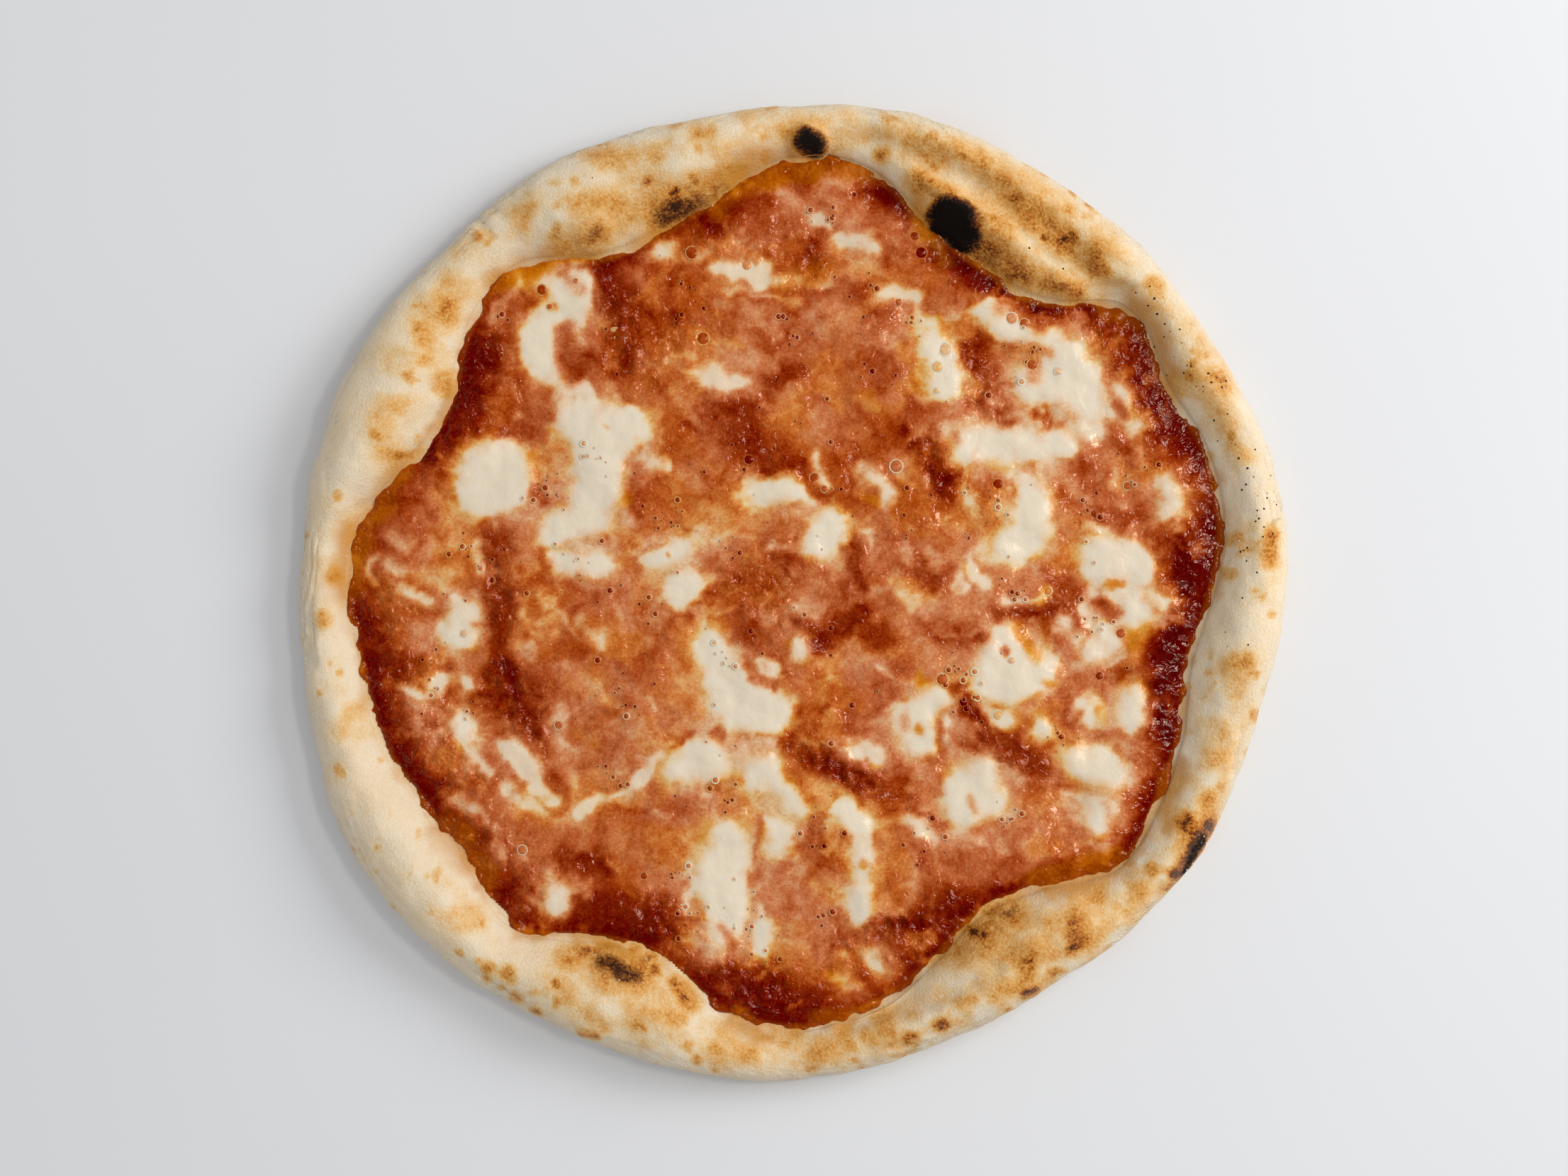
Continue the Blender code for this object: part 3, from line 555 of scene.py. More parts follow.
def topping_material(name, roughness):
    """Wet sauce that turns to cheese as the attribute milk goes from 0 to 1."""
    made, tree, shader, where = new_material(name)
    milk_here, depth_here, warm_here, oil_here, rumple_here = (
        put(tree, "ShaderNodeAttribute", attribute_name=label).outputs["Fac"]
        for label in ("milk", "depth", "warm", "oil", "rumple"))
    grain = put(tree, "ShaderNodeTexNoise", {"Vector": where, "Scale": per_mm(0.8), "Detail": 3.0, "Roughness": 0.6})
    wisps = put(tree, "ShaderNodeTexNoise", {
        "Vector": where, "Scale": per_mm(5.0), "Detail": 4.0, "Roughness": 0.55, "Distortion": 1.0})
    both = put(tree, "ShaderNodeMath", {0: grain.outputs["Fac"], 1: wisps.outputs["Fac"]}, operation="ADD")
    swing = put(tree, "ShaderNodeMath", {0: both.outputs[0], 1: 1.0}, operation="SUBTRACT")
    calm = put(tree, "ShaderNodeMapRange", {"Value": milk_here, 1: 0.6, 2: 1.0, 3: 0.42, 4: 0.07})
    mixed = put(tree, "ShaderNodeMath", {0: swing.outputs[0], 1: calm.outputs[0], 2: milk_here},
                operation="MULTIPLY_ADD")
    ramps = [put(tree, "ShaderNodeValToRGB", {"Fac": mixed.outputs[0]}, stops=tuple(zip(MILK_STOPS, colours)))
             for colours in (SALMON, ORANGE, DEEP, GOLD)]
    colour = ramps[0].outputs["Color"]
    for share, ramp in zip((warm_here, depth_here, oil_here), ramps[1:]):
        layer = put(tree, "ShaderNodeMix", {0: share, 6: colour, 7: ramp.outputs["Color"]}, data_type="RGBA")
        colour = layer.outputs[2]
    tree.links.new(colour, shader.inputs["Base Color"])
    rough = put(tree, "ShaderNodeMapRange", {
        "Value": wisps.outputs["Fac"], 1: 0.3, 2: 0.7, 3: roughness - 0.06, 4: roughness + 0.08})
    tree.links.new(rough.outputs[0], shader.inputs["Roughness"])
    fine = put(tree, "ShaderNodeTexNoise", {"Vector": where, "Scale": per_mm(0.9), "Detail": 2.0, "Roughness": 0.5})
    folds = put(tree, "ShaderNodeTexNoise", {
        "Vector": where, "Scale": per_mm(3.2), "Detail": 2.0, "Roughness": 0.5, "Distortion": 0.6})
    large = put(tree, "ShaderNodeBump", {
        "Height": folds.outputs["Fac"], "Distance": 1.6 * MM, "Strength": rumple_here})
    bump = put(tree, "ShaderNodeBump", {
        "Height": fine.outputs["Fac"], "Distance": 0.12 * MM, "Strength": rumple_here,
        "Normal": large.outputs["Normal"]})
    tree.links.new(bump.outputs["Normal"], shader.inputs["Normal"])
    shader.inputs["Subsurface Weight"].default_value = 0.2
    shader.inputs["Subsurface Radius"].default_value = (1.0, 0.45, 0.25)
    shader.inputs["Subsurface Scale"].default_value = 1.2 * MM
    shader.inputs["IOR"].default_value = 1.45
    shader.inputs["Specular IOR Level"].default_value = 0.5
    shader.inputs["Specular Tint"].default_value = (1.0, 0.84, 0.72, 1.0)
    return made


sauce_material = topping_material("tomato_sauce_cooked_wet", 0.12)
cheese_material = topping_material("mozzarella_melted_soft", 0.24)
print("topping materials:", sauce_material.name, cheese_material.name)

# %% The sauce layer
SAUCE_CELL = 0.78
SAUCE_BOTTOM = 4.1
in_sauce = shore_depth > -2.0
under_pools = sauce_top - 0.6 * smooth_step(cheese, 0.5, 0.9)
sauce_mesh, floor_faces = sheet_mesh("tomato_sauce_layer", in_sauce, np.maximum(under_pools, SAUCE_BOTTOM + 0.3),
                                     SAUCE_CELL, SAUCE_BOTTOM)
sauce_piece = add_piece("tomato_sauce_layer", sauce_mesh, sauce_material, ["tomato_sauce"])
print("sauce layer:", len(sauce_mesh.polygons), "faces")

# %% The cheese pools
POOL_CELL = 0.6
pool_faces = 0
for name in pool_names:
    own = pool_maps[name] > 0.05
    top = sauce_top + cheese_top - 0.8 * (cheese - pool_maps[name])
    lowest = top[own].min() - 0.8
    mesh, _ = sheet_mesh(name.replace("mozzarella", "melted_mozzarella"), own, top, POOL_CELL, lowest)
    add_piece(mesh.name, mesh, cheese_material, [name])
    pool_faces += len(mesh.polygons)
print("cheese pools:", len(pool_names), "with", pool_faces, "faces")

# %% [markdown]
# ## Marks of the oven on the crust
#
# A very hot oven browns the crust unevenly. Thin blisters burn black first, and pale dough stays
# where the rim was shaded. The outer side keeps a bloom of raw flour. The large marks are painted
# as listed strokes, like the strokes on the topping, and small ones come from random hills.

# %% Toast, char and flour on the map
BROWNED = (
    (-70, 105, -56, 112, 5.0, 0.45), (-62, 108, -59, 110, 5.0, 0.62), (-56, 115, -44, 118, 5.0, 0.42),
    (-40, 116, -27, 119, 7.5, 0.62), (-25, 123, -19, 127, 4.5, 0.6), (-44, 124, -44, 124.6, 2.0, 0.62),
    (-57, 131, -49, 133, 3.4, 0.42), (-59, 137, -58, 137, 1.6, 0.5), (-29, 134, -29, 134.5, 1.6, 0.5),
    (-81, 114, -80, 116, 2.4, 0.42), (-73, 124, -72, 124, 1.6, 0.36), (-66, 124, -66, 125, 1.4, 0.4),
    (-38, 142, -36, 142, 1.8, 0.4), (-8, 147.4, -6, 147.6, 1.4, 0.5), (38, 125, 46, 119, 4.5, 0.62),
    (44, 112, 56, 108, 10, 0.6), (57, 104, 66, 99, 4.6, 0.74), (66, 99, 78, 95, 4.2, 0.6),
    (78, 95, 85, 91, 3.8, 0.62), (56, 129, 62, 125, 4.0, 0.5), (62, 125, 70, 117, 4.4, 0.6),
    (66, 121, 69, 118, 2.8, 0.66), (72, 115, 82, 107, 4.8, 0.62), (78, 111, 81, 109, 3.2, 0.62),
    (84, 105, 90, 100, 3.6, 0.58), (93, 99, 95, 98, 2.2, 0.62), (108, 94, 110, 92, 2.4, 0.5),
    (26, 134, 27, 134, 2.4, 0.62), (35, 137, 41, 134, 3.4, 0.44), (71, 131, 72, 130.6, 1.2, 0.66),
    (76, 127.5, 77, 127, 1.0, 0.5), (84, 122.6, 85, 122, 1.2, 0.66), (90, 118.4, 91, 118, 1.2, 0.6),
    (115, 64, 117, 62, 2.6, 0.4), (125, 66, 131, 52, 4.0, 0.36), (144.4, 17, 143.6, 11, 3.0, 0.6),
    (135, -21, 133, -30, 3.0, 0.36), (138.5, -36.6, 140, -37, 1.6, 0.5), (128, -58, 129, -59, 1.4, 0.42),
    (118, -69, 122, -72, 3.6, 0.8), (117, -85, 125.6, -70.4, 3.2, 0.95), (114, -89, 116, -87.6, 1.8, 0.7),
    (58, -104, 66, -97, 5.6, 0.56), (46, -107, 62, -108, 6.0, 0.46), (65, -98, 67, -97, 3.4, 0.72),
    (54, -103, 57, -102, 3.0, 0.7), (68, -109, 76, -106, 5.0, 0.5), (70, -110, 71, -109, 2.2, 0.68),
    (77.6, -113.8, 78.6, -113.4, 1.9, 0.78), (70, -120.6, 73, -119.6, 2.0, 0.84), (65, -126.4, 65.6, -126, 1.3, 0.66),
    (43, -130.4, 44.4, -130, 2.2, 0.84), (34.4, -134, 36, -133.6, 2.1, 0.74), (22, -134, 24, -135, 2.4, 0.52),
    (7, -136, 8, -136, 2.0, 0.5), (4, -144, 6, -143.8, 1.4, 0.5), (50, -123.6, 53, -123, 1.9, 0.5),
    (63, -124, 63.4, -124, 1.1, 0.5), (95, -108, 96, -107, 1.6, 0.5), (84, -92, 87, -91, 1.2, 0.3),
    (-58, -112, -48, -115, 6.4, 0.62), (-68, -110, -66, -109.6, 4.2, 0.6), (-45.4, -111, -44.6, -110.6, 2.4, 0.74),
    (-37, -118.6, -36.4, -119.4, 2.2, 0.66), (-34, -121, -32.4, -124.4, 3.0, 0.68), (-69, -121.6, -67, -122.4, 2.6, 0.36),
    (-62, -126, -58, -130, 3.2, 0.36), (-48, -130.4, -45.6, -130.8, 1.7, 0.56), (-33, -136.4, -32.6, -136.4, 1.8, 0.5),
    (-30.6, -140.8, -30, -140.8, 1.6, 0.6), (-24, -137, -22, -138, 2.4, 0.42), (-87.4, -113.6, -86, -114.8, 2.3, 0.6),
    (-93.4, -112, -92.4, -112.6, 2.0, 0.56), (-93, -116.2, -92.4, -116.6, 1.5, 0.6), (-89, -118.6, -88.6, -118.6, 1.1, 0.5),
    (-96.4, -110, -96, -110, 0.9, 0.5), (-101, -108.2, -100.6, -108.2, 0.9, 0.5), (-85, -121.6, -84, -122, 1.9, 0.42),
    (-79, -126.4, -78, -127, 1.8, 0.6), (-63.4, -133.4, -60.4, -134.2, 1.7, 0.74), (-106, 62, -106.6, 65, 3.0, 0.52),
    (-143, -7, -142.6, -9, 2.4, 0.45), (-140, 5, -139.6, 7, 2.2, 0.52), (-148.6, 18, -148.4, 18.4, 1.0, 0.5),
)
CHARRED = (
    (44, 116.0, 51, 114, 3.9, 1.0), (45, 111.6, 53, 109.4, 3.8, 1.0), (49.6, 106.8, 52, 105.8, 2.4, 0.9),
    (57, 104, 60, 101.4, 2.6, 0.4), (39, 123.6, 41, 121.6, 2.4, 0.35), (55.4, 115, 56.4, 113, 2.4, 0.45),
    (3.6, 136.8, 5.0, 136.6, 4.1, 0.95), (-39, 115.0, -34, 117.0, 3.8, 0.56), (-31, 117.6, -27, 119.4, 3.4, 0.46),
    (-24, 123.0, -21.6, 125.0, 2.4, 0.4), (-61.6, 108.8, -59.8, 110, 2.8, 0.42), (-58, -112.2, -54, -113.2, 3.2, 0.56),
    (-53, -113.8, -48.4, -115.8, 3.2, 0.6), (-45.6, -110.8, -44.6, -110.6, 1.4, 0.4), (-33.6, -122, -33, -123.6, 1.5, 0.3),
    (118.9, -84, 123.6, -74.4, 1.6, 0.85),
    (63.4, -98.2, 66.6, -96.8, 2.0, 0.46), (54, -103.2, 56.4, -102.2, 2.0, 0.36), (43.2, -130.3, 44, -130.1, 1.1, 0.26),
    (71, -120.3, 72.4, -119.9, 1.0, 0.26), (144.4, 20, 146.4, 23, 0.9, 0.4),
)
GOLDEN = (
    (-113, 74, -104, 92, 5, 0.5), (-120, 60, -118, 72, 5, 0.36), (-122, 40, -124, 52, 5, 0.36),
    (-100, 104, -94, 112, 4, 0.36), (-84, 118, -80, 110, 4, 0.4), (-60, 134, -46, 132, 5, 0.5),
    (-44, 134, -30, 138, 5, 0.5), (-64, 114, -40, 121, 6, 0.5), (-26, 136, -14, 142, 6, 0.5),
    (-4, 136.4, 12, 136.2, 7.4, 0.5), (-10, 143, 16, 143, 4, 0.3), (18, 139, 30, 138, 4, 0.4), (30, 138, 48, 131, 5, 0.55),
    (48, 132, 64, 126, 6, 0.6), (64, 124, 92, 101, 7, 0.62), (58, 104, 88, 91, 6, 0.62),
    (92, 103, 100, 97, 4, 0.36), (106, 92, 112, 86, 4, 0.4), (118, 76, 128, 58, 5, 0.62),
    (128, 56, 137, 36, 4, 0.36), (138, 20, 142, 4, 3, 0.2), (134, -20, 131, -36, 4, 0.5),
    (130, -40, 126, -58, 5, 0.52), (122, -62, 110, -82, 7, 0.55), (108, -84, 92, -100, 9, 0.62),
    (92, -98, 74, -112, 9, 0.72), (74, -110, 58, -122, 7, 0.6), (60, -122, 36, -131, 6, 0.62),
    (34, -133, 4, -138, 6, 0.62), (2, -138, -20, -139, 6, 0.5), (-22, -136, -40, -132, 7, 0.66),
    (-46, -128, -62, -126, 5, 0.42), (-66, -121, -72, -118, 3.4, 0.36), (-98, -100, -104, -92, 4, 0.3),
    (-134, -34, -136, -46, 5, 0.32), (-139, 18, -141, -2, 4, 0.4), (-128, 28, -134, 20, 4, 0.36),
    (112, -92, 100, -100, 3.4, 0.4), (126, -30, 124, -44, 2.4, 0.2), (-96, 92, -84, 100, 3, 0.3),
)
SOOT = (
    (108, 90, 112, 84, 4, 0.5), (112, 82, 118, 76, 4, 0.9), (114, 78, 126, 60, 5, 0.5), (124, 64, 134, 44, 5, 0.6),
    (138, 40, 141, 20, 4, 0.8), (142, 34, 146, 16, 2.4, 1.0), (138, 12, 137, 2, 4, 0.5), (136, -10, 134, -16, 4, 0.25),
    (-61.2, 124.4, -61, 125.6, 0.8, 3.0), (-56, 124.2, -54.8, 124.4, 0.9, 2.5), (-54.6, 129.4, -47, 131, 1.0, 1.2),
    (-48, 136, -45, 134, 1.4, 0.6), (-68, 120, -60, 123, 3, 0.12), (60, 118, 80, 104, 6, 0.08), (40, -120, 60, -128, 8, 0.06),
)
patches = clouds(map_points, 7.0, 131, 4)
speckle = clouds(map_points, 2.6, 141)
golden = painted(GOLDEN, edge=0.9) * (0.62 + 0.62 * patches)
browned = painted(BROWNED, edge=0.8, sway=0.45) * (0.94 + 0.22 * speckle)
stray = smooth_step(clouds(map_points, 6.0, 151), 0.75, 1.15) * 0.35
toast = np.clip(np.maximum(0.72 * golden, browned) + stray + 0.05 * patches + 0.04, 0, 1)
char = np.clip(painted(CHARRED, edge=0.75, sway=0.6), 0, 1)
toast = np.maximum(toast, 0.90 * smooth_step(softened(char, 1.0), 0.08, 0.6))
soak = (1 - smooth_step(-inward + 1.4 * clouds(map_points, 5.0, 161), 0.4, 3.4)) * (0.65 + 0.5 * hills(map_points, 9.0, 163))
soak = np.clip(np.maximum(0.8 * soak, 0.85 * painted(OILY, edge=0.9)), 0, 1) * (1 - smooth_step(char, 0.1, 0.6))
soot = painted(SOOT, edge=0.9, sway=0.3)
print("oven marks:", len(BROWNED), "browned,", len(CHARRED), "charred,", len(GOLDEN), "golden")

# %% [markdown]
# ## The crust
#
# The crust's surface goes through the rings of its solid as one smooth skin. The skin is then
# raised and sunk along its own normal: swellings of the baked dough, blisters where it charred, and
# fine stretch creases round the outer side, where the dough was pulled up to make the rim.

# %% The crust's skin
AROUND = 900
RING_STEPS = ((0.0, 2.0, 6), (2.0, 21.0, 66), (21.0, 23.0, 6))
BLISTERS = (
    (4.4, 136.8, 6.4, 1.6), (48.6, 111.0, 8.0, 0.8), (-37.0, 116.0, 6.5, 0.7), (-27.0, 119.5, 5.0, 0.6),
    (-61.0, 110.0, 6.5, 0.6), (-54.0, -113.8, 8.0, 0.7), (63.8, -98.0, 4.5, 0.5), (-34.0, -121.0, 5.0, 0.5),
    (82.5, 94.5, 6.0, 0.6), (144.0, 14.0, 4.0, 0.4), (121.0, -79.0, 5.0, 0.4), (71.5, -120.0, 3.0, 0.4),
)
FURROWS = (
    (41, 130, 53, 122.5, 3.6, 1.8), (53, 122.5, 63, 113.5, 3.4, 2.2), (63, 113.5, 72, 106, 3.4, 2.3),
    (72, 106, 80, 100.5, 3.4, 2.2), (80, 100.5, 89, 95.2, 3.4, 2.0), (89, 95.2, 99, 91, 3.4, 1.6),
    (17, -128.6, 29, -125, 3.4, 1.7), (29, -125, 41, -122.4, 3.2, 1.9), (41, -122.4, 52, -118, 3.0, 1.8),
    (52, -118, 60, -114, 2.8, 1.2), (-101, -111, -90, -119.5, 1.5, 0.9), (-90, -119.5, -79, -128.5, 1.8, 1.4),
    (-79, -128.5, -68, -134.6, 1.9, 1.5), (-68, -134.6, -56, -138.6, 1.7, 1.2), (-56, -138.6, -46, -141.4, 1.5, 0.8),
    (-147, -8, -146, -22, 1.3, 1.0), (-98, 116, -92, 108, 1.2, 0.7), (-94, 119, -88, 113, 1.0, 0.6),
    (134.6, -42, 132.4, -54, 1.0, 0.7), (138, 0, 137, 24, 1.6, 0.4), (-128, 28, -136, 24, 1.0, 0.4),
)


def skin_places():
    """Ring places along the section: few across the dish, many over the rim."""
    parts = [np.linspace(start, end, count, endpoint=False) for start, end, count in RING_STEPS]
    return np.concatenate(parts + [np.array([RING_STEPS[-1][1]])])


def along_section(columns, place):
    """A smooth curve through each column's rings, at any place along it."""
    last = columns.shape[1] - 1
    first = np.minimum(np.floor(place).astype(int), last - 1)
    part = (place - first)[None, :, None]
    before, start, end, after = (columns[:, np.clip(first + step, 0, last)] for step in (-1, 0, 1, 2))
    bend = 2 * before - 5 * start + 4 * end - after
    return start + 0.5 * part * (end - before + part * (bend + part * (3 * (start - end) + after - before)))


angles = np.arange(AROUND) / AROUND * math.tau
skin = along_section(round_the_pizza(sections, angles), skin_places())
skin_x = skin[..., 0] * np.cos(angles)[:, None]
skin_y = skin[..., 0] * np.sin(angles)[:, None]
points = np.stack([skin_x, skin_y, skin[..., 1]], axis=-1)
across = np.roll(points, -1, axis=0) - np.roll(points, 1, axis=0)
down = np.gradient(points, axis=1)
normal = np.cross(down, across)
normal /= np.linalg.norm(normal, axis=-1, keepdims=True)
print("skin points:", points.shape[:2], "top normal points up:", bool(normal[0, 30, 2] > 0))

# %% Swell, blister and crease the skin
on_rim = smooth_step(points[..., 2], 0.6, 3.0) * smooth_step(skin[..., 0] - round_the_pizza(sauce_edge, angles)[:, None], -3, 4)
relief = 0.6 * hills(points, 16.0, 171) + 0.42 * hills(points, 7.0, 172) + 0.14 * clouds(points, 2.8, 173, 2)
girth = angles[:, None] * 150.0 + 0 * skin[..., 0]
height_line = points[..., 2] + 0.35 * (round_the_pizza(crust_edge, angles)[:, None] - skin[..., 0])
stretch = np.stack([girth / 16.0, height_line, 0 * girth], axis=-1)
creases = np.abs(clouds(stretch, 1.7, 181, 2))
furrow_map = softened(painted(FURROWS, edge=0.9, sway=0.5), 0.5)
furrows = read_map(furrow_map, points[..., 0], points[..., 1]) * (points[..., 2] > 2.5)
outer_side = smooth_step(skin[..., 0], (round_the_pizza(crust_edge, angles) - 9.0)[:, None],
                         (round_the_pizza(crust_edge, angles) - 3.0)[:, None])
side_patch = smooth_step(hills(points, 40.0, 183), -0.5, 0.4)
relief = relief - 0.55 * outer_side * side_patch * (1 - smooth_step(creases, 0.0, 0.28)) - furrows
for x, y, radius, rise in BLISTERS:
    away = np.hypot(points[..., 0] - x, points[..., 1] - y) / radius
    relief = relief + (points[..., 2] > 5) * rise * np.sqrt(np.clip(1 - away ** 2, 0, 1))
section_length = np.cumsum(np.linalg.norm(np.diff(points, axis=1, prepend=points[:, :1]), axis=-1), axis=1)
facing_up = smooth_step(normal[..., 2], -0.15, 0.45).reshape(-1)
points = points + normal * (relief * on_rim)[..., None]
print("relief from", (relief * on_rim).min().round(2), "to", (relief * on_rim).max().round(2), "mm")


# %% Make the crust's mesh
def ring_mesh(name, points, top_centre, bottom_centre):
    """A closed mesh from rings of points, with a point at the middle of its top and of its underside."""
    around, along = points.shape[:2]
    index = np.arange(around * along).reshape(around, along)
    ahead = np.roll(index, -1, axis=0)
    quads = np.stack([index[:, :-1], index[:, 1:], ahead[:, 1:], ahead[:, :-1]], axis=-1).reshape(-1, 4)
    corners = np.concatenate([points.reshape(-1, 3), [top_centre, bottom_centre]])
    top, bottom = around * along, around * along + 1
    caps = [(top, int(a), int(b)) for a, b in zip(index[:, 0], ahead[:, 0])]
    caps += [(bottom, int(b), int(a)) for a, b in zip(index[:, -1], ahead[:, -1])]
    mesh = bpy.data.meshes.new(name)
    mesh.from_pydata((corners * MM).tolist(), [], quads.tolist() + caps)
    body = bmesh.new()
    body.from_mesh(mesh)
    bmesh.ops.recalc_face_normals(body, faces=body.faces)
    body.to_mesh(mesh)
    body.free()
    return mesh, corners


STRETCH = 5.0
bed_height = float(sections[0, 0, 1])
crust_mesh, corners = ring_mesh("baked_crust", points, (0, 0, bed_height), (0, 0, 0))
above = np.concatenate([facing_up, [1.0, 0.0]]) * smooth_step(corners[:, 2], 1.0, 4.0)
edge_here = round_the_pizza(crust_edge, np.arctan2(corners[:, 1], corners[:, 0]))
outside = smooth_step(np.hypot(corners[:, 0], corners[:, 1]) - edge_here, -7.0, -1.0)
flour = np.clip(outside * (0.9 - 0.35 * smooth_step(corners[:, 2], 8, 14)) + 0.15 * hills(corners, 9.0, 191), 0, 1)
side_toast = np.clip(0.10 + 0.34 * smooth_step(clouds(corners, 14.0, 195), 0.25, 1.0), 0, 1)
for label, field in (("toast", toast), ("char", char), ("soak", soak), ("soot", soot)):
    side = side_toast * (1 - above) if label == "toast" else 0.0
    store(crust_mesh, label, read_map(field, corners[:, 0], corners[:, 1]) * above + side)
store(crust_mesh, "flour", flour)
store(crust_mesh, "underside", 1 - smooth_step(corners[:, 2], 0.2, 2.2))
along = np.concatenate([section_length.reshape(-1), [0.0, 0.0]])
turned = np.arctan2(corners[:, 1], corners[:, 0])
wrap = np.stack([150 * np.cos(turned), 150 * np.sin(turned), STRETCH * along], axis=-1) * MM
crust_mesh.attributes.new("wrap", "FLOAT_VECTOR", "POINT").data.foreach_set("vector", wrap.astype(np.float32).ravel())
print("crust:", len(crust_mesh.polygons), "faces")

# %% [markdown]
# ## Baked dough
#
# Baked dough is matt and porous, pale cream where it stayed cool, golden, then brown and black as
# it got hotter, with a grain of about half a millimetre where flour and tiny bubbles scorched.
# The outer side is dusted with flour, which greys it. The underside lay on the hot stone: it is
# floury with brown spots.

# %% The crust's material
def crust_material():
    """Matt dough, browned, charred, oiled and floured as its attributes say."""
    made, tree, shader, where = new_material("dough_baked_floury")
    toast_here, char_here, soak_here, flour_here, under_here = (
        put(tree, "ShaderNodeAttribute", attribute_name=label).outputs["Fac"]
        for label in ("toast", "char", "soak", "flour", "underside"))
    wrap_here = put(tree, "ShaderNodeAttribute", attribute_name="wrap").outputs["Vector"]
    grain = put(tree, "ShaderNodeTexNoise", {"Vector": where, "Scale": per_mm(0.9), "Detail": 3.0, "Roughness": 0.7})
    patch = put(tree, "ShaderNodeTexNoise", {"Vector": where, "Scale": per_mm(3.2), "Detail": 4.0, "Roughness": 0.6})
    spots = put(tree, "ShaderNodeTexNoise", {"Vector": where, "Scale": per_mm(14.0), "Detail": 3.0})
    under_spots = put(tree, "ShaderNodeMapRange", {"Value": spots.outputs["Fac"], 1: 0.5, 2: 0.72, 3: 0.08, 4: 0.85})
    warmth = put(tree, "ShaderNodeMath", {0: under_spots.outputs[0], 1: under_here, 2: toast_here},
                 operation="MULTIPLY_ADD")
    both = put(tree, "ShaderNodeMath", {0: grain.outputs["Fac"], 1: 1.6, 2: patch.outputs["Fac"]},
               operation="MULTIPLY_ADD")
    swing = put(tree, "ShaderNodeMapRange", {"Value": both.outputs[0], 1: 0.7, 2: 1.9, 3: 0.55, 4: 1.45})
    flecks = put(tree, "ShaderNodeMapRange", {"Value": grain.outputs["Fac"], 1: 0.3, 2: 0.7, 3: -0.06, 4: 0.08})
    heat = put(tree, "ShaderNodeMath", {0: warmth.outputs[0], 1: swing.outputs[0], 2: flecks.outputs[0]},
               operation="MULTIPLY_ADD")
    baked = put(tree, "ShaderNodeValToRGB", {"Fac": heat.outputs[0]}, stops=(
        (0.0, "#F1DEC0"), (0.14, "#EFD1A3"), (0.28, "#EBBF82"), (0.44, "#E4AB60"),
        (0.60, "#D48F3B"), (0.76, "#B86A1E"), (0.90, "#87420B"), (1.0, "#512603")))
    ragged = put(tree, "ShaderNodeMapRange", {"Value": grain.outputs["Fac"], 1: 0.2, 2: 0.8, 3: 0.8, 4: 1.2})
    burnt = put(tree, "ShaderNodeMath", {0: char_here, 1: ragged.outputs[0]}, operation="MULTIPLY")
    burnt_part = put(tree, "ShaderNodeMapRange", {"Value": burnt.outputs[0], 1: 0.25, 2: 0.85, 3: 0.0, 4: 1.0})
    bare = put(tree, "ShaderNodeMapRange", {"Value": heat.outputs[0], 1: 0.1, 2: 0.5, 3: 1.1, 4: 0.35})
    floury = put(tree, "ShaderNodeMath", {0: flour_here, 1: bare.outputs[0]}, operation="MULTIPLY")
    dusty = put(tree, "ShaderNodeMath", {0: floury.outputs[0], 1: grain.outputs["Fac"]}, operation="MULTIPLY")
    colour = baked.outputs["Color"]
    for share, tone in ((dusty.outputs[0], "#E2D8C6"), (burnt_part.outputs[0], "#17100C"), (soak_here, "#CF8A2C")):
        layer = put(tree, "ShaderNodeMix", {0: share, 6: colour, 7: linear(tone)}, data_type="RGBA")
        colour = layer.outputs[2]
    tree.links.new(colour, shader.inputs["Base Color"])
    rough = put(tree, "ShaderNodeMapRange", {"Value": soak_here, 1: 0.0, 2: 1.0, 3: 0.78, 4: 0.35})
    tree.links.new(rough.outputs[0], shader.inputs["Roughness"])
    pores = put(tree, "ShaderNodeTexNoise", {"Vector": where, "Scale": per_mm(0.8), "Detail": 3.0, "Roughness": 0.7})
    pulled = put(tree, "ShaderNodeTexNoise", {"Vector": wrap_here, "Scale": per_mm(6.0), "Detail": 3.0, "Roughness": 0.6})
    pull = put(tree, "ShaderNodeBump", {"Height": pulled.outputs["Fac"], "Distance": 1.4 * MM, "Strength": flour_here})
    bump = put(tree, "ShaderNodeBump", {
        "Height": pores.outputs["Fac"], "Distance": 0.5 * MM, "Strength": 0.8, "Normal": pull.outputs["Normal"]})
    tree.links.new(bump.outputs["Normal"], shader.inputs["Normal"])
    shader.inputs["Subsurface Weight"].default_value = 0.12
    shader.inputs["Subsurface Radius"].default_value = (1.0, 0.7, 0.4)
    shader.inputs["Subsurface Scale"].default_value = 1.0 * MM
    shader.inputs["Specular IOR Level"].default_value = 0.2
    return made


crust_piece = add_piece("baked_crust", crust_mesh, crust_material(), ["crust"])
print("crust piece:", crust_piece.name)
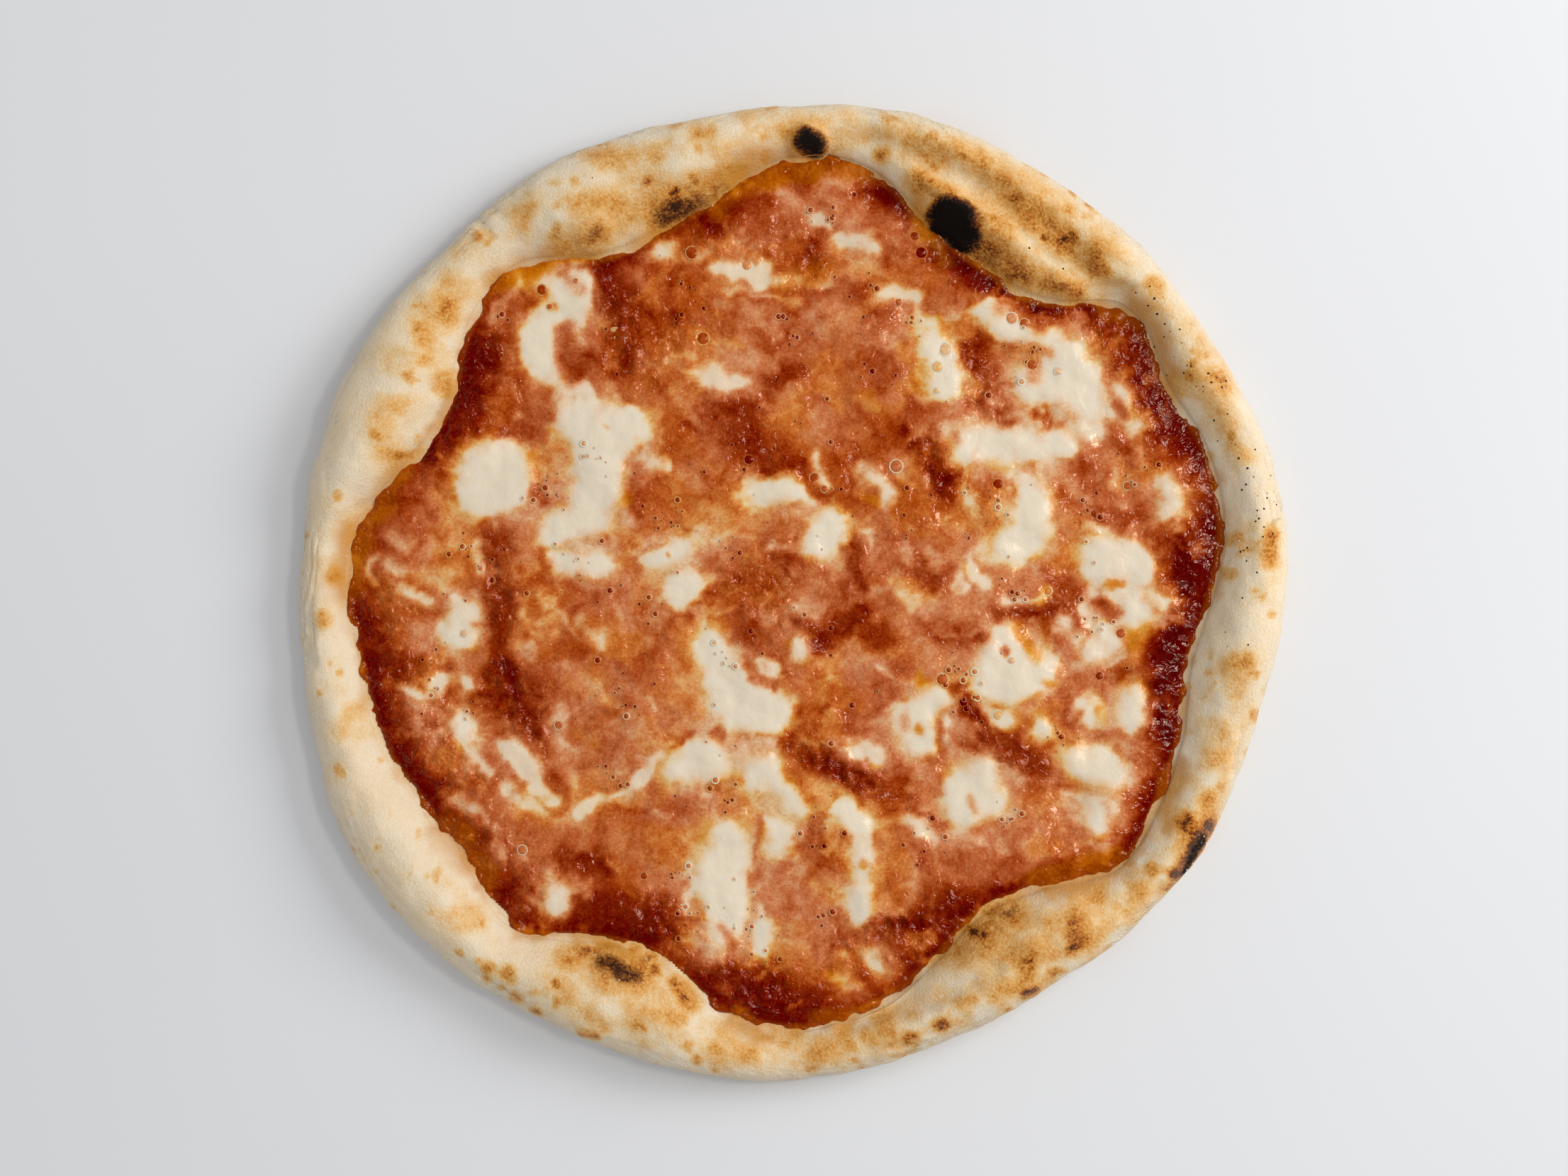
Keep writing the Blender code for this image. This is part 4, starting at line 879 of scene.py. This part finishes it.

# %% [markdown]
# ## Bubbles, flour and soot with Geometry Nodes
#
# Steam blows bubbles in the cheese and the sauce. Small ones burst and stay as a pore with a raised
# lip. The pore is a small dome inside the lip, painted redder for the sauce beneath and darker as
# the pore's shade. Large ones stay as a thin dome. The crust carries grains of raw flour and flecks
# of soot.
# All of them repeat hundreds of times, so a tree of nodes copies one small shape to many points.
# The tree is built here, its sizes are named inputs, and its result is made a plain mesh.

# %% Tree helpers
def new_tree(name, numbers):
    """An empty modifier tree that takes a mesh and named numbers."""
    tree = bpy.data.node_groups.new(name, "GeometryNodeTree")
    tree.interface.new_socket("Geometry", in_out="INPUT", socket_type="NodeSocketGeometry")
    for label in numbers:
        tree.interface.new_socket(label, in_out="INPUT", socket_type="NodeSocketFloat")
    tree.interface.new_socket("Geometry", in_out="OUTPUT", socket_type="NodeSocketGeometry")
    return tree, put(tree, "NodeGroupInput").outputs


def close_tree(tree, copies, material):
    """Ends a tree: the copies become one mesh with one material."""
    real = put(tree, "GeometryNodeRealizeInstances", {"Geometry": copies})
    dressed = put(tree, "GeometryNodeSetMaterial", {"Geometry": real.outputs["Geometry"], "Material": material})
    put(tree, "NodeGroupOutput", {"Geometry": dressed.outputs["Geometry"]})


def grown(name, mesh, tree, numbers):
    """Runs a tree on a mesh and gives back a plain mesh."""
    carrier = bpy.data.objects.new(name, mesh)
    bpy.context.scene.collection.objects.link(carrier)
    modifier = carrier.modifiers.new(name, "NODES")
    modifier.node_group = tree
    for item in tree.interface.items_tree:
        if item.in_out == "INPUT" and item.name in numbers:
            modifier[item.identifier] = numbers[item.name]
    result = bpy.data.meshes.new_from_object(carrier.evaluated_get(bpy.context.evaluated_depsgraph_get()))
    bpy.data.objects.remove(carrier)
    result.name = name
    return result


# %% Where the bubbles are
LARGE_BUBBLES = (
    (-31.3, 104, 2.4), (-14.7, 100.3, 2.0), (-77, 92.7, 2.0), (-74.7, 87.7, 1.2), (-66.7, 95.3, 1.1),
    (45.8, 74.6, 2.4), (43.4, 69.2, 2.2), (43.3, 62.0, 1.2), (72.5, 70.0, 2.0), (80.5, 68.0, 1.6),
    (66.0, 84.0, 2.2), (70.0, 82.5, 1.8), (36.5, 109.0, 1.8), (38.5, 104.0, 2.2), (31.5, 89.0, 1.5),
    (62.0, 33.5, 2.0), (101.5, 33.0, 1.6), (91.5, 24.5, 1.5), (77.2, 1.0, 1.7), (99.5, -12.0, 1.9),
    (66.2, -20.5, 1.4), (93.0, -25.0, 1.5), (45.0, -26.0, 2.2), (51.5, -33.0, 1.6), (62.0, -37.0, 2.0),
    (6.0, 35.5, 1.8), (9.0, 32.0, 1.3), (31.0, 39.0, 2.4), (-28.0, 78.0, 2.3), (-14.0, 41.0, 1.8),
    (-96.0, 8.0, 1.2), (-72.0, -40.0, 1.6), (-83.0, -78.0, 1.8), (-46.0, -86.0, 1.4), (-101.0, -12.0, 1.5),
)
BUBBLE_CLUSTERS = (
    (-36, 24, 7, 12), (-19, 14, 5, 6), (-75, 31, 8, 16), (-60, 41, 10, 10), (2, 79, 9, 8), (25, 69, 7, 6),
    (-36, -85, 6, 8), (-32, -100, 6, 8), (-14, -98, 9, 10), (-9, -112, 8, 8), (8, -98, 6, 6), (64, -69, 7, 8),
    (82, -43, 6, 8), (48, -23, 7, 12), (53, -31, 7, 10), (102, 40, 7, 8), (-98, -35, 5, 4), (-57, -55, 8, 8),
    (-30, 92, 12, 12), (12, 118, 9, 10), (38, 84, 8, 10), (20, 92, 10, 8), (60, 28, 10, 10), (88, 22, 9, 10),
    (66, 2, 8, 8), (92, -8, 7, 10), (30, 20, 12, 10), (-8, 52, 10, 8), (-100, 14, 10, 12), (-108, -22, 9, 8),
    (-52, -30, 12, 14), (-26, -60, 12, 12), (6, -72, 9, 10), (40, -72, 10, 12), (-70, 6, 12, 12), (-20, -20, 10, 8),
    (74, 74, 9, 12), (-86, 88, 8, 10), (0, 0, 100, 90),
)
LIP, PIT, DOME = 0.30, 0.5, 0.26
surface_top = np.where(cheese > 0.1, np.maximum(sauce_top, sauce_top + cheese_top), sauce_top)


def bubble_places():
    """Places (x, y) and radii in mm of the small bubbles, in loose clusters."""
    chance = np.random.default_rng(7)
    places = []
    for x, y, spread, count in BUBBLE_CLUSTERS:
        offsets = chance.normal(0.0, spread * 0.5, (count, 2))
        sizes = 0.32 + 0.75 * chance.random(count) ** 2.2
        places.append(np.column_stack([x + offsets[:, 0], y + offsets[:, 1], sizes]))
    places = np.concatenate(places)
    return places[read_map(inward, places[:, 0], places[:, 1]) > 5.0]


def bubble_points(name, places, lift, milk_shift, depth_shift):
    """A mesh of loose points with each bubble's radius and the topping's values, shifted (the pits' darker shift is
    painted shade).
    """
    x, y, radius = places.T
    z = read_map(surface_top, x, y) + lift * radius
    mesh = bpy.data.meshes.new(name)
    mesh.from_pydata((np.column_stack([x, y, z]) * MM).tolist(), [], [])
    store(mesh, "radius", radius * MM)
    store(mesh, "milk", np.clip(read_map(milk, x, y) + milk_shift, 0, 1))
    store(mesh, "depth", np.clip(read_map(depth, x, y) + depth_shift, 0, 1))
    store(mesh, "warm", read_map(warm, x, y))
    store(mesh, "rumple", np.full(len(x), 0.15))
    store(mesh, "oil", read_map(oil, x, y) * 0.5)
    return mesh


small_bubbles = bubble_places()
large_bubbles = np.array(LARGE_BUBBLES)
print("bubbles:", len(small_bubbles), "small and", len(large_bubbles), "large")


# %% Bubble shapes
def bubble_tree(name, shape):
    """Copies a unit shape to every point, at the point's own radius."""
    tree, given = new_tree(name, ("Flatness", "Lip"))
    size = put(tree, "GeometryNodeInputNamedAttribute", {"Name": "radius"}, data_type="FLOAT").outputs["Attribute"]
    if shape == "lip":
        path = put(tree, "GeometryNodeCurvePrimitiveCircle", {"Resolution": 12, "Radius": 1.0}).outputs["Curve"]
        tube = put(tree, "GeometryNodeCurvePrimitiveCircle", {"Resolution": 6, "Radius": given["Lip"]}).outputs["Curve"]
        unit = put(tree, "GeometryNodeCurveToMesh", {"Curve": path, "Profile Curve": tube}).outputs["Mesh"]
    else:
        unit = put(tree, "GeometryNodeMeshUVSphere", {"Segments": 12, "Rings": 7, "Radius": 1.0}).outputs["Mesh"]
    squash = put(tree, "ShaderNodeCombineXYZ", {"X": 1.0, "Y": 1.0, "Z": given["Flatness"]}).outputs[0]
    flat = put(tree, "GeometryNodeTransform", {"Geometry": unit, "Scale": squash}).outputs["Geometry"]
    smooth = put(tree, "GeometryNodeSetShadeSmooth", {"Geometry": flat}).outputs["Geometry"]
    copies = put(tree, "GeometryNodeInstanceOnPoints", {
        "Points": given["Geometry"], "Instance": smooth, "Scale": size}).outputs["Instances"]
    close_tree(tree, copies, sauce_material)
    return tree


lip_tree = bubble_tree("bubble_lip", "lip")
dome_tree = bubble_tree("bubble_dome", "dome")
for name, places, tree, lift, shifts, numbers in (
        ("bubble_lips", small_bubbles, lip_tree, 0.05, (0.10, -0.2), {"Flatness": 0.8, "Lip": LIP}),
        # The pits are painted redder for the sauce beneath and darker as the pore's shade.
        ("shaded_bubble_pits", small_bubbles * (1, 1, 0.85), dome_tree, -0.05, (-0.30, 0.35), {"Flatness": PIT, "Lip": LIP}),
        ("bubble_domes", large_bubbles * (1, 1, 0.86), dome_tree, -0.10, (-0.24, 0.0), {"Flatness": DOME, "Lip": LIP}),
        ("bubble_rings", large_bubbles * (1, 1, 0.86), lip_tree, -0.02, (0.14, -0.1), {"Flatness": 0.6, "Lip": 0.12})):
    grown_mesh = grown(name, bubble_points(name, places, lift, *shifts), tree, numbers)
    add_piece(name, grown_mesh, sauce_material, None)
    print(name, len(grown_mesh.polygons), "faces")


# %% Flour grains and soot flecks on the crust
def grain_tree(name, measure, material):
    """Scatters small flattened grains over a mesh, as thickly as one of its attributes says."""
    tree, given = new_tree(name, ("Density", "Smallest", "Largest", "Flatness", "Seed"))
    share = put(tree, "GeometryNodeInputNamedAttribute", {"Name": measure}, data_type="FLOAT").outputs["Attribute"]
    dense = put(tree, "ShaderNodeMath", {0: share, 1: given["Density"]}, operation="MULTIPLY")
    spread = put(tree, "GeometryNodeDistributePointsOnFaces", {
        "Mesh": given["Geometry"], "Density": dense.outputs[0], "Seed": given["Seed"]})
    size = put(tree, "FunctionNodeRandomValue", {2: given["Smallest"], 3: given["Largest"], "Seed": 3}).outputs[1]
    unit = put(tree, "GeometryNodeMeshIcoSphere", {"Radius": 1.0, "Subdivisions": 1}).outputs["Mesh"]
    squash = put(tree, "ShaderNodeCombineXYZ", {"X": 1.0, "Y": 1.0, "Z": given["Flatness"]}).outputs[0]
    flat = put(tree, "GeometryNodeTransform", {"Geometry": unit, "Scale": squash}).outputs["Geometry"]
    copies = put(tree, "GeometryNodeInstanceOnPoints", {
        "Points": spread.outputs["Points"], "Instance": flat, "Rotation": spread.outputs["Rotation"],
        "Scale": size}).outputs["Instances"]
    close_tree(tree, copies, material)
    return tree


def plain_material(name, hex_colour, roughness):
    made, tree, shader, where = new_material(name)
    tone = put(tree, "ShaderNodeTexNoise", {"Vector": where, "Scale": per_mm(2.0)})
    low, high = hex_colour
    ramp = put(tree, "ShaderNodeValToRGB", {"Fac": tone.outputs["Fac"]}, stops=((0.35, low), (0.65, high)))
    tree.links.new(ramp.outputs["Color"], shader.inputs["Base Color"])
    shader.inputs["Roughness"].default_value = roughness
    return made


flour_material = plain_material("flour_raw_powder", ("#E9E2D2", "#F4EEE0"), 0.9)
soot_material = plain_material("soot_flecks_matt", ("#120C08", "#2E2016"), 0.8)
for name, measure, material, numbers in (
        ("flour_grains", "flour", flour_material,
         {"Density": 1.1e5, "Smallest": 0.14 * MM, "Largest": 0.30 * MM, "Flatness": 0.7, "Seed": 4.0}),
        ("soot_flecks", "soot", soot_material,
         {"Density": 9.0e4, "Smallest": 0.12 * MM, "Largest": 0.42 * MM, "Flatness": 0.35, "Seed": 9.0})):
    grown_mesh = grown(name, crust_mesh.copy(), grain_tree(name, measure, material), numbers)
    add_piece(name, grown_mesh, material, None)
    print(name, len(grown_mesh.polygons), "faces")

# %% [markdown]
# ## Floor, light and camera
#
# The pizza lies on a plain pale floor. One large soft light stands to the right and a little
# behind, so that shadows fall soft to the left, and a pale surrounding fills them. The camera looks
# straight down. Its height is worked out from its lens and the real width of the picture.

# %% Stage
PICTURE = (2212, 1659)
PIZZA_PIXEL = (1121, 838)
PIZZA_PIXELS_WIDE = 1388
PIZZA_WIDTH = 300.0
LENS, SENSOR = 70.0, 36.0
SHARP_PLANE = 7.0

bpy.ops.mesh.primitive_plane_add(size=12.0)
floor = bpy.context.object
floor.name = "pale_floor"
floor_material, tree, shader, where = new_material("paper_backdrop_matt")
shade = put(tree, "ShaderNodeTexNoise", {"Vector": where, "Scale": per_mm(300.0), "Detail": 2.0})
tone = put(tree, "ShaderNodeValToRGB", {"Fac": shade.outputs["Fac"]}, stops=((0.3, "#E9E9EA"), (0.7, "#ECECEC")))
tree.links.new(tone.outputs["Color"], shader.inputs["Base Color"])
shader.inputs["Roughness"].default_value = 0.9
shader.inputs["Specular IOR Level"].default_value = 0.1
floor.data.materials.append(floor_material)

mm_per_pixel = PIZZA_WIDTH / PIZZA_PIXELS_WIDE
picture_width = PICTURE[0] * mm_per_pixel
camera = bpy.data.objects.new("camera", bpy.data.cameras.new("camera"))
bpy.context.scene.collection.objects.link(camera)
camera.data.lens = LENS
camera.data.sensor_width = SENSOR
aim_x = (PICTURE[0] / 2 - PIZZA_PIXEL[0]) * mm_per_pixel
aim_y = (PIZZA_PIXEL[1] - PICTURE[1] / 2) * mm_per_pixel
camera.location = (aim_x * MM, aim_y * MM, (SHARP_PLANE + picture_width * LENS / SENSOR) * MM)
bpy.context.scene.camera = camera

sun_panel = bpy.data.objects.new("soft_panel", bpy.data.lights.new("soft_panel", "AREA"))
bpy.context.scene.collection.objects.link(sun_panel)
sun_panel.data.shape = "RECTANGLE"
sun_panel.data.size = 0.9
sun_panel.data.size_y = 0.7
sun_panel.data.energy = 14.0
sun_panel.location = (1.195, 0.483, 0.805)
sun_panel.rotation_euler = (-sun_panel.location).to_track_quat("-Z", "Y").to_euler()

glint_lamp = bpy.data.objects.new("high_lamp", bpy.data.lights.new("high_lamp", "AREA"))
bpy.context.scene.collection.objects.link(glint_lamp)
glint_lamp.data.shape = "RECTANGLE"
glint_lamp.data.size = 0.26
glint_lamp.data.size_y = 0.18
glint_lamp.data.energy = 2.8
glint_lamp.data.color = (1.0, 0.95, 0.88)
glint_lamp.location = (0.66, 0.16, 1.35)
glint_lamp.rotation_euler = (-glint_lamp.location).to_track_quat("-Z", "Y").to_euler()

world = bpy.data.worlds.new("pale_room")
bpy.context.scene.world = world
world.use_nodes = True
sky = world.node_tree.nodes["Background"]
sky.inputs["Color"].default_value = linear("#F2F5FA")
sky.inputs["Strength"].default_value = 0.55
world.cycles_visibility.glossy = False

bpy.context.scene.view_settings.view_transform = "Standard"
print("camera", round(camera.location.z, 3), "m up; picture", round(picture_width), "mm wide")
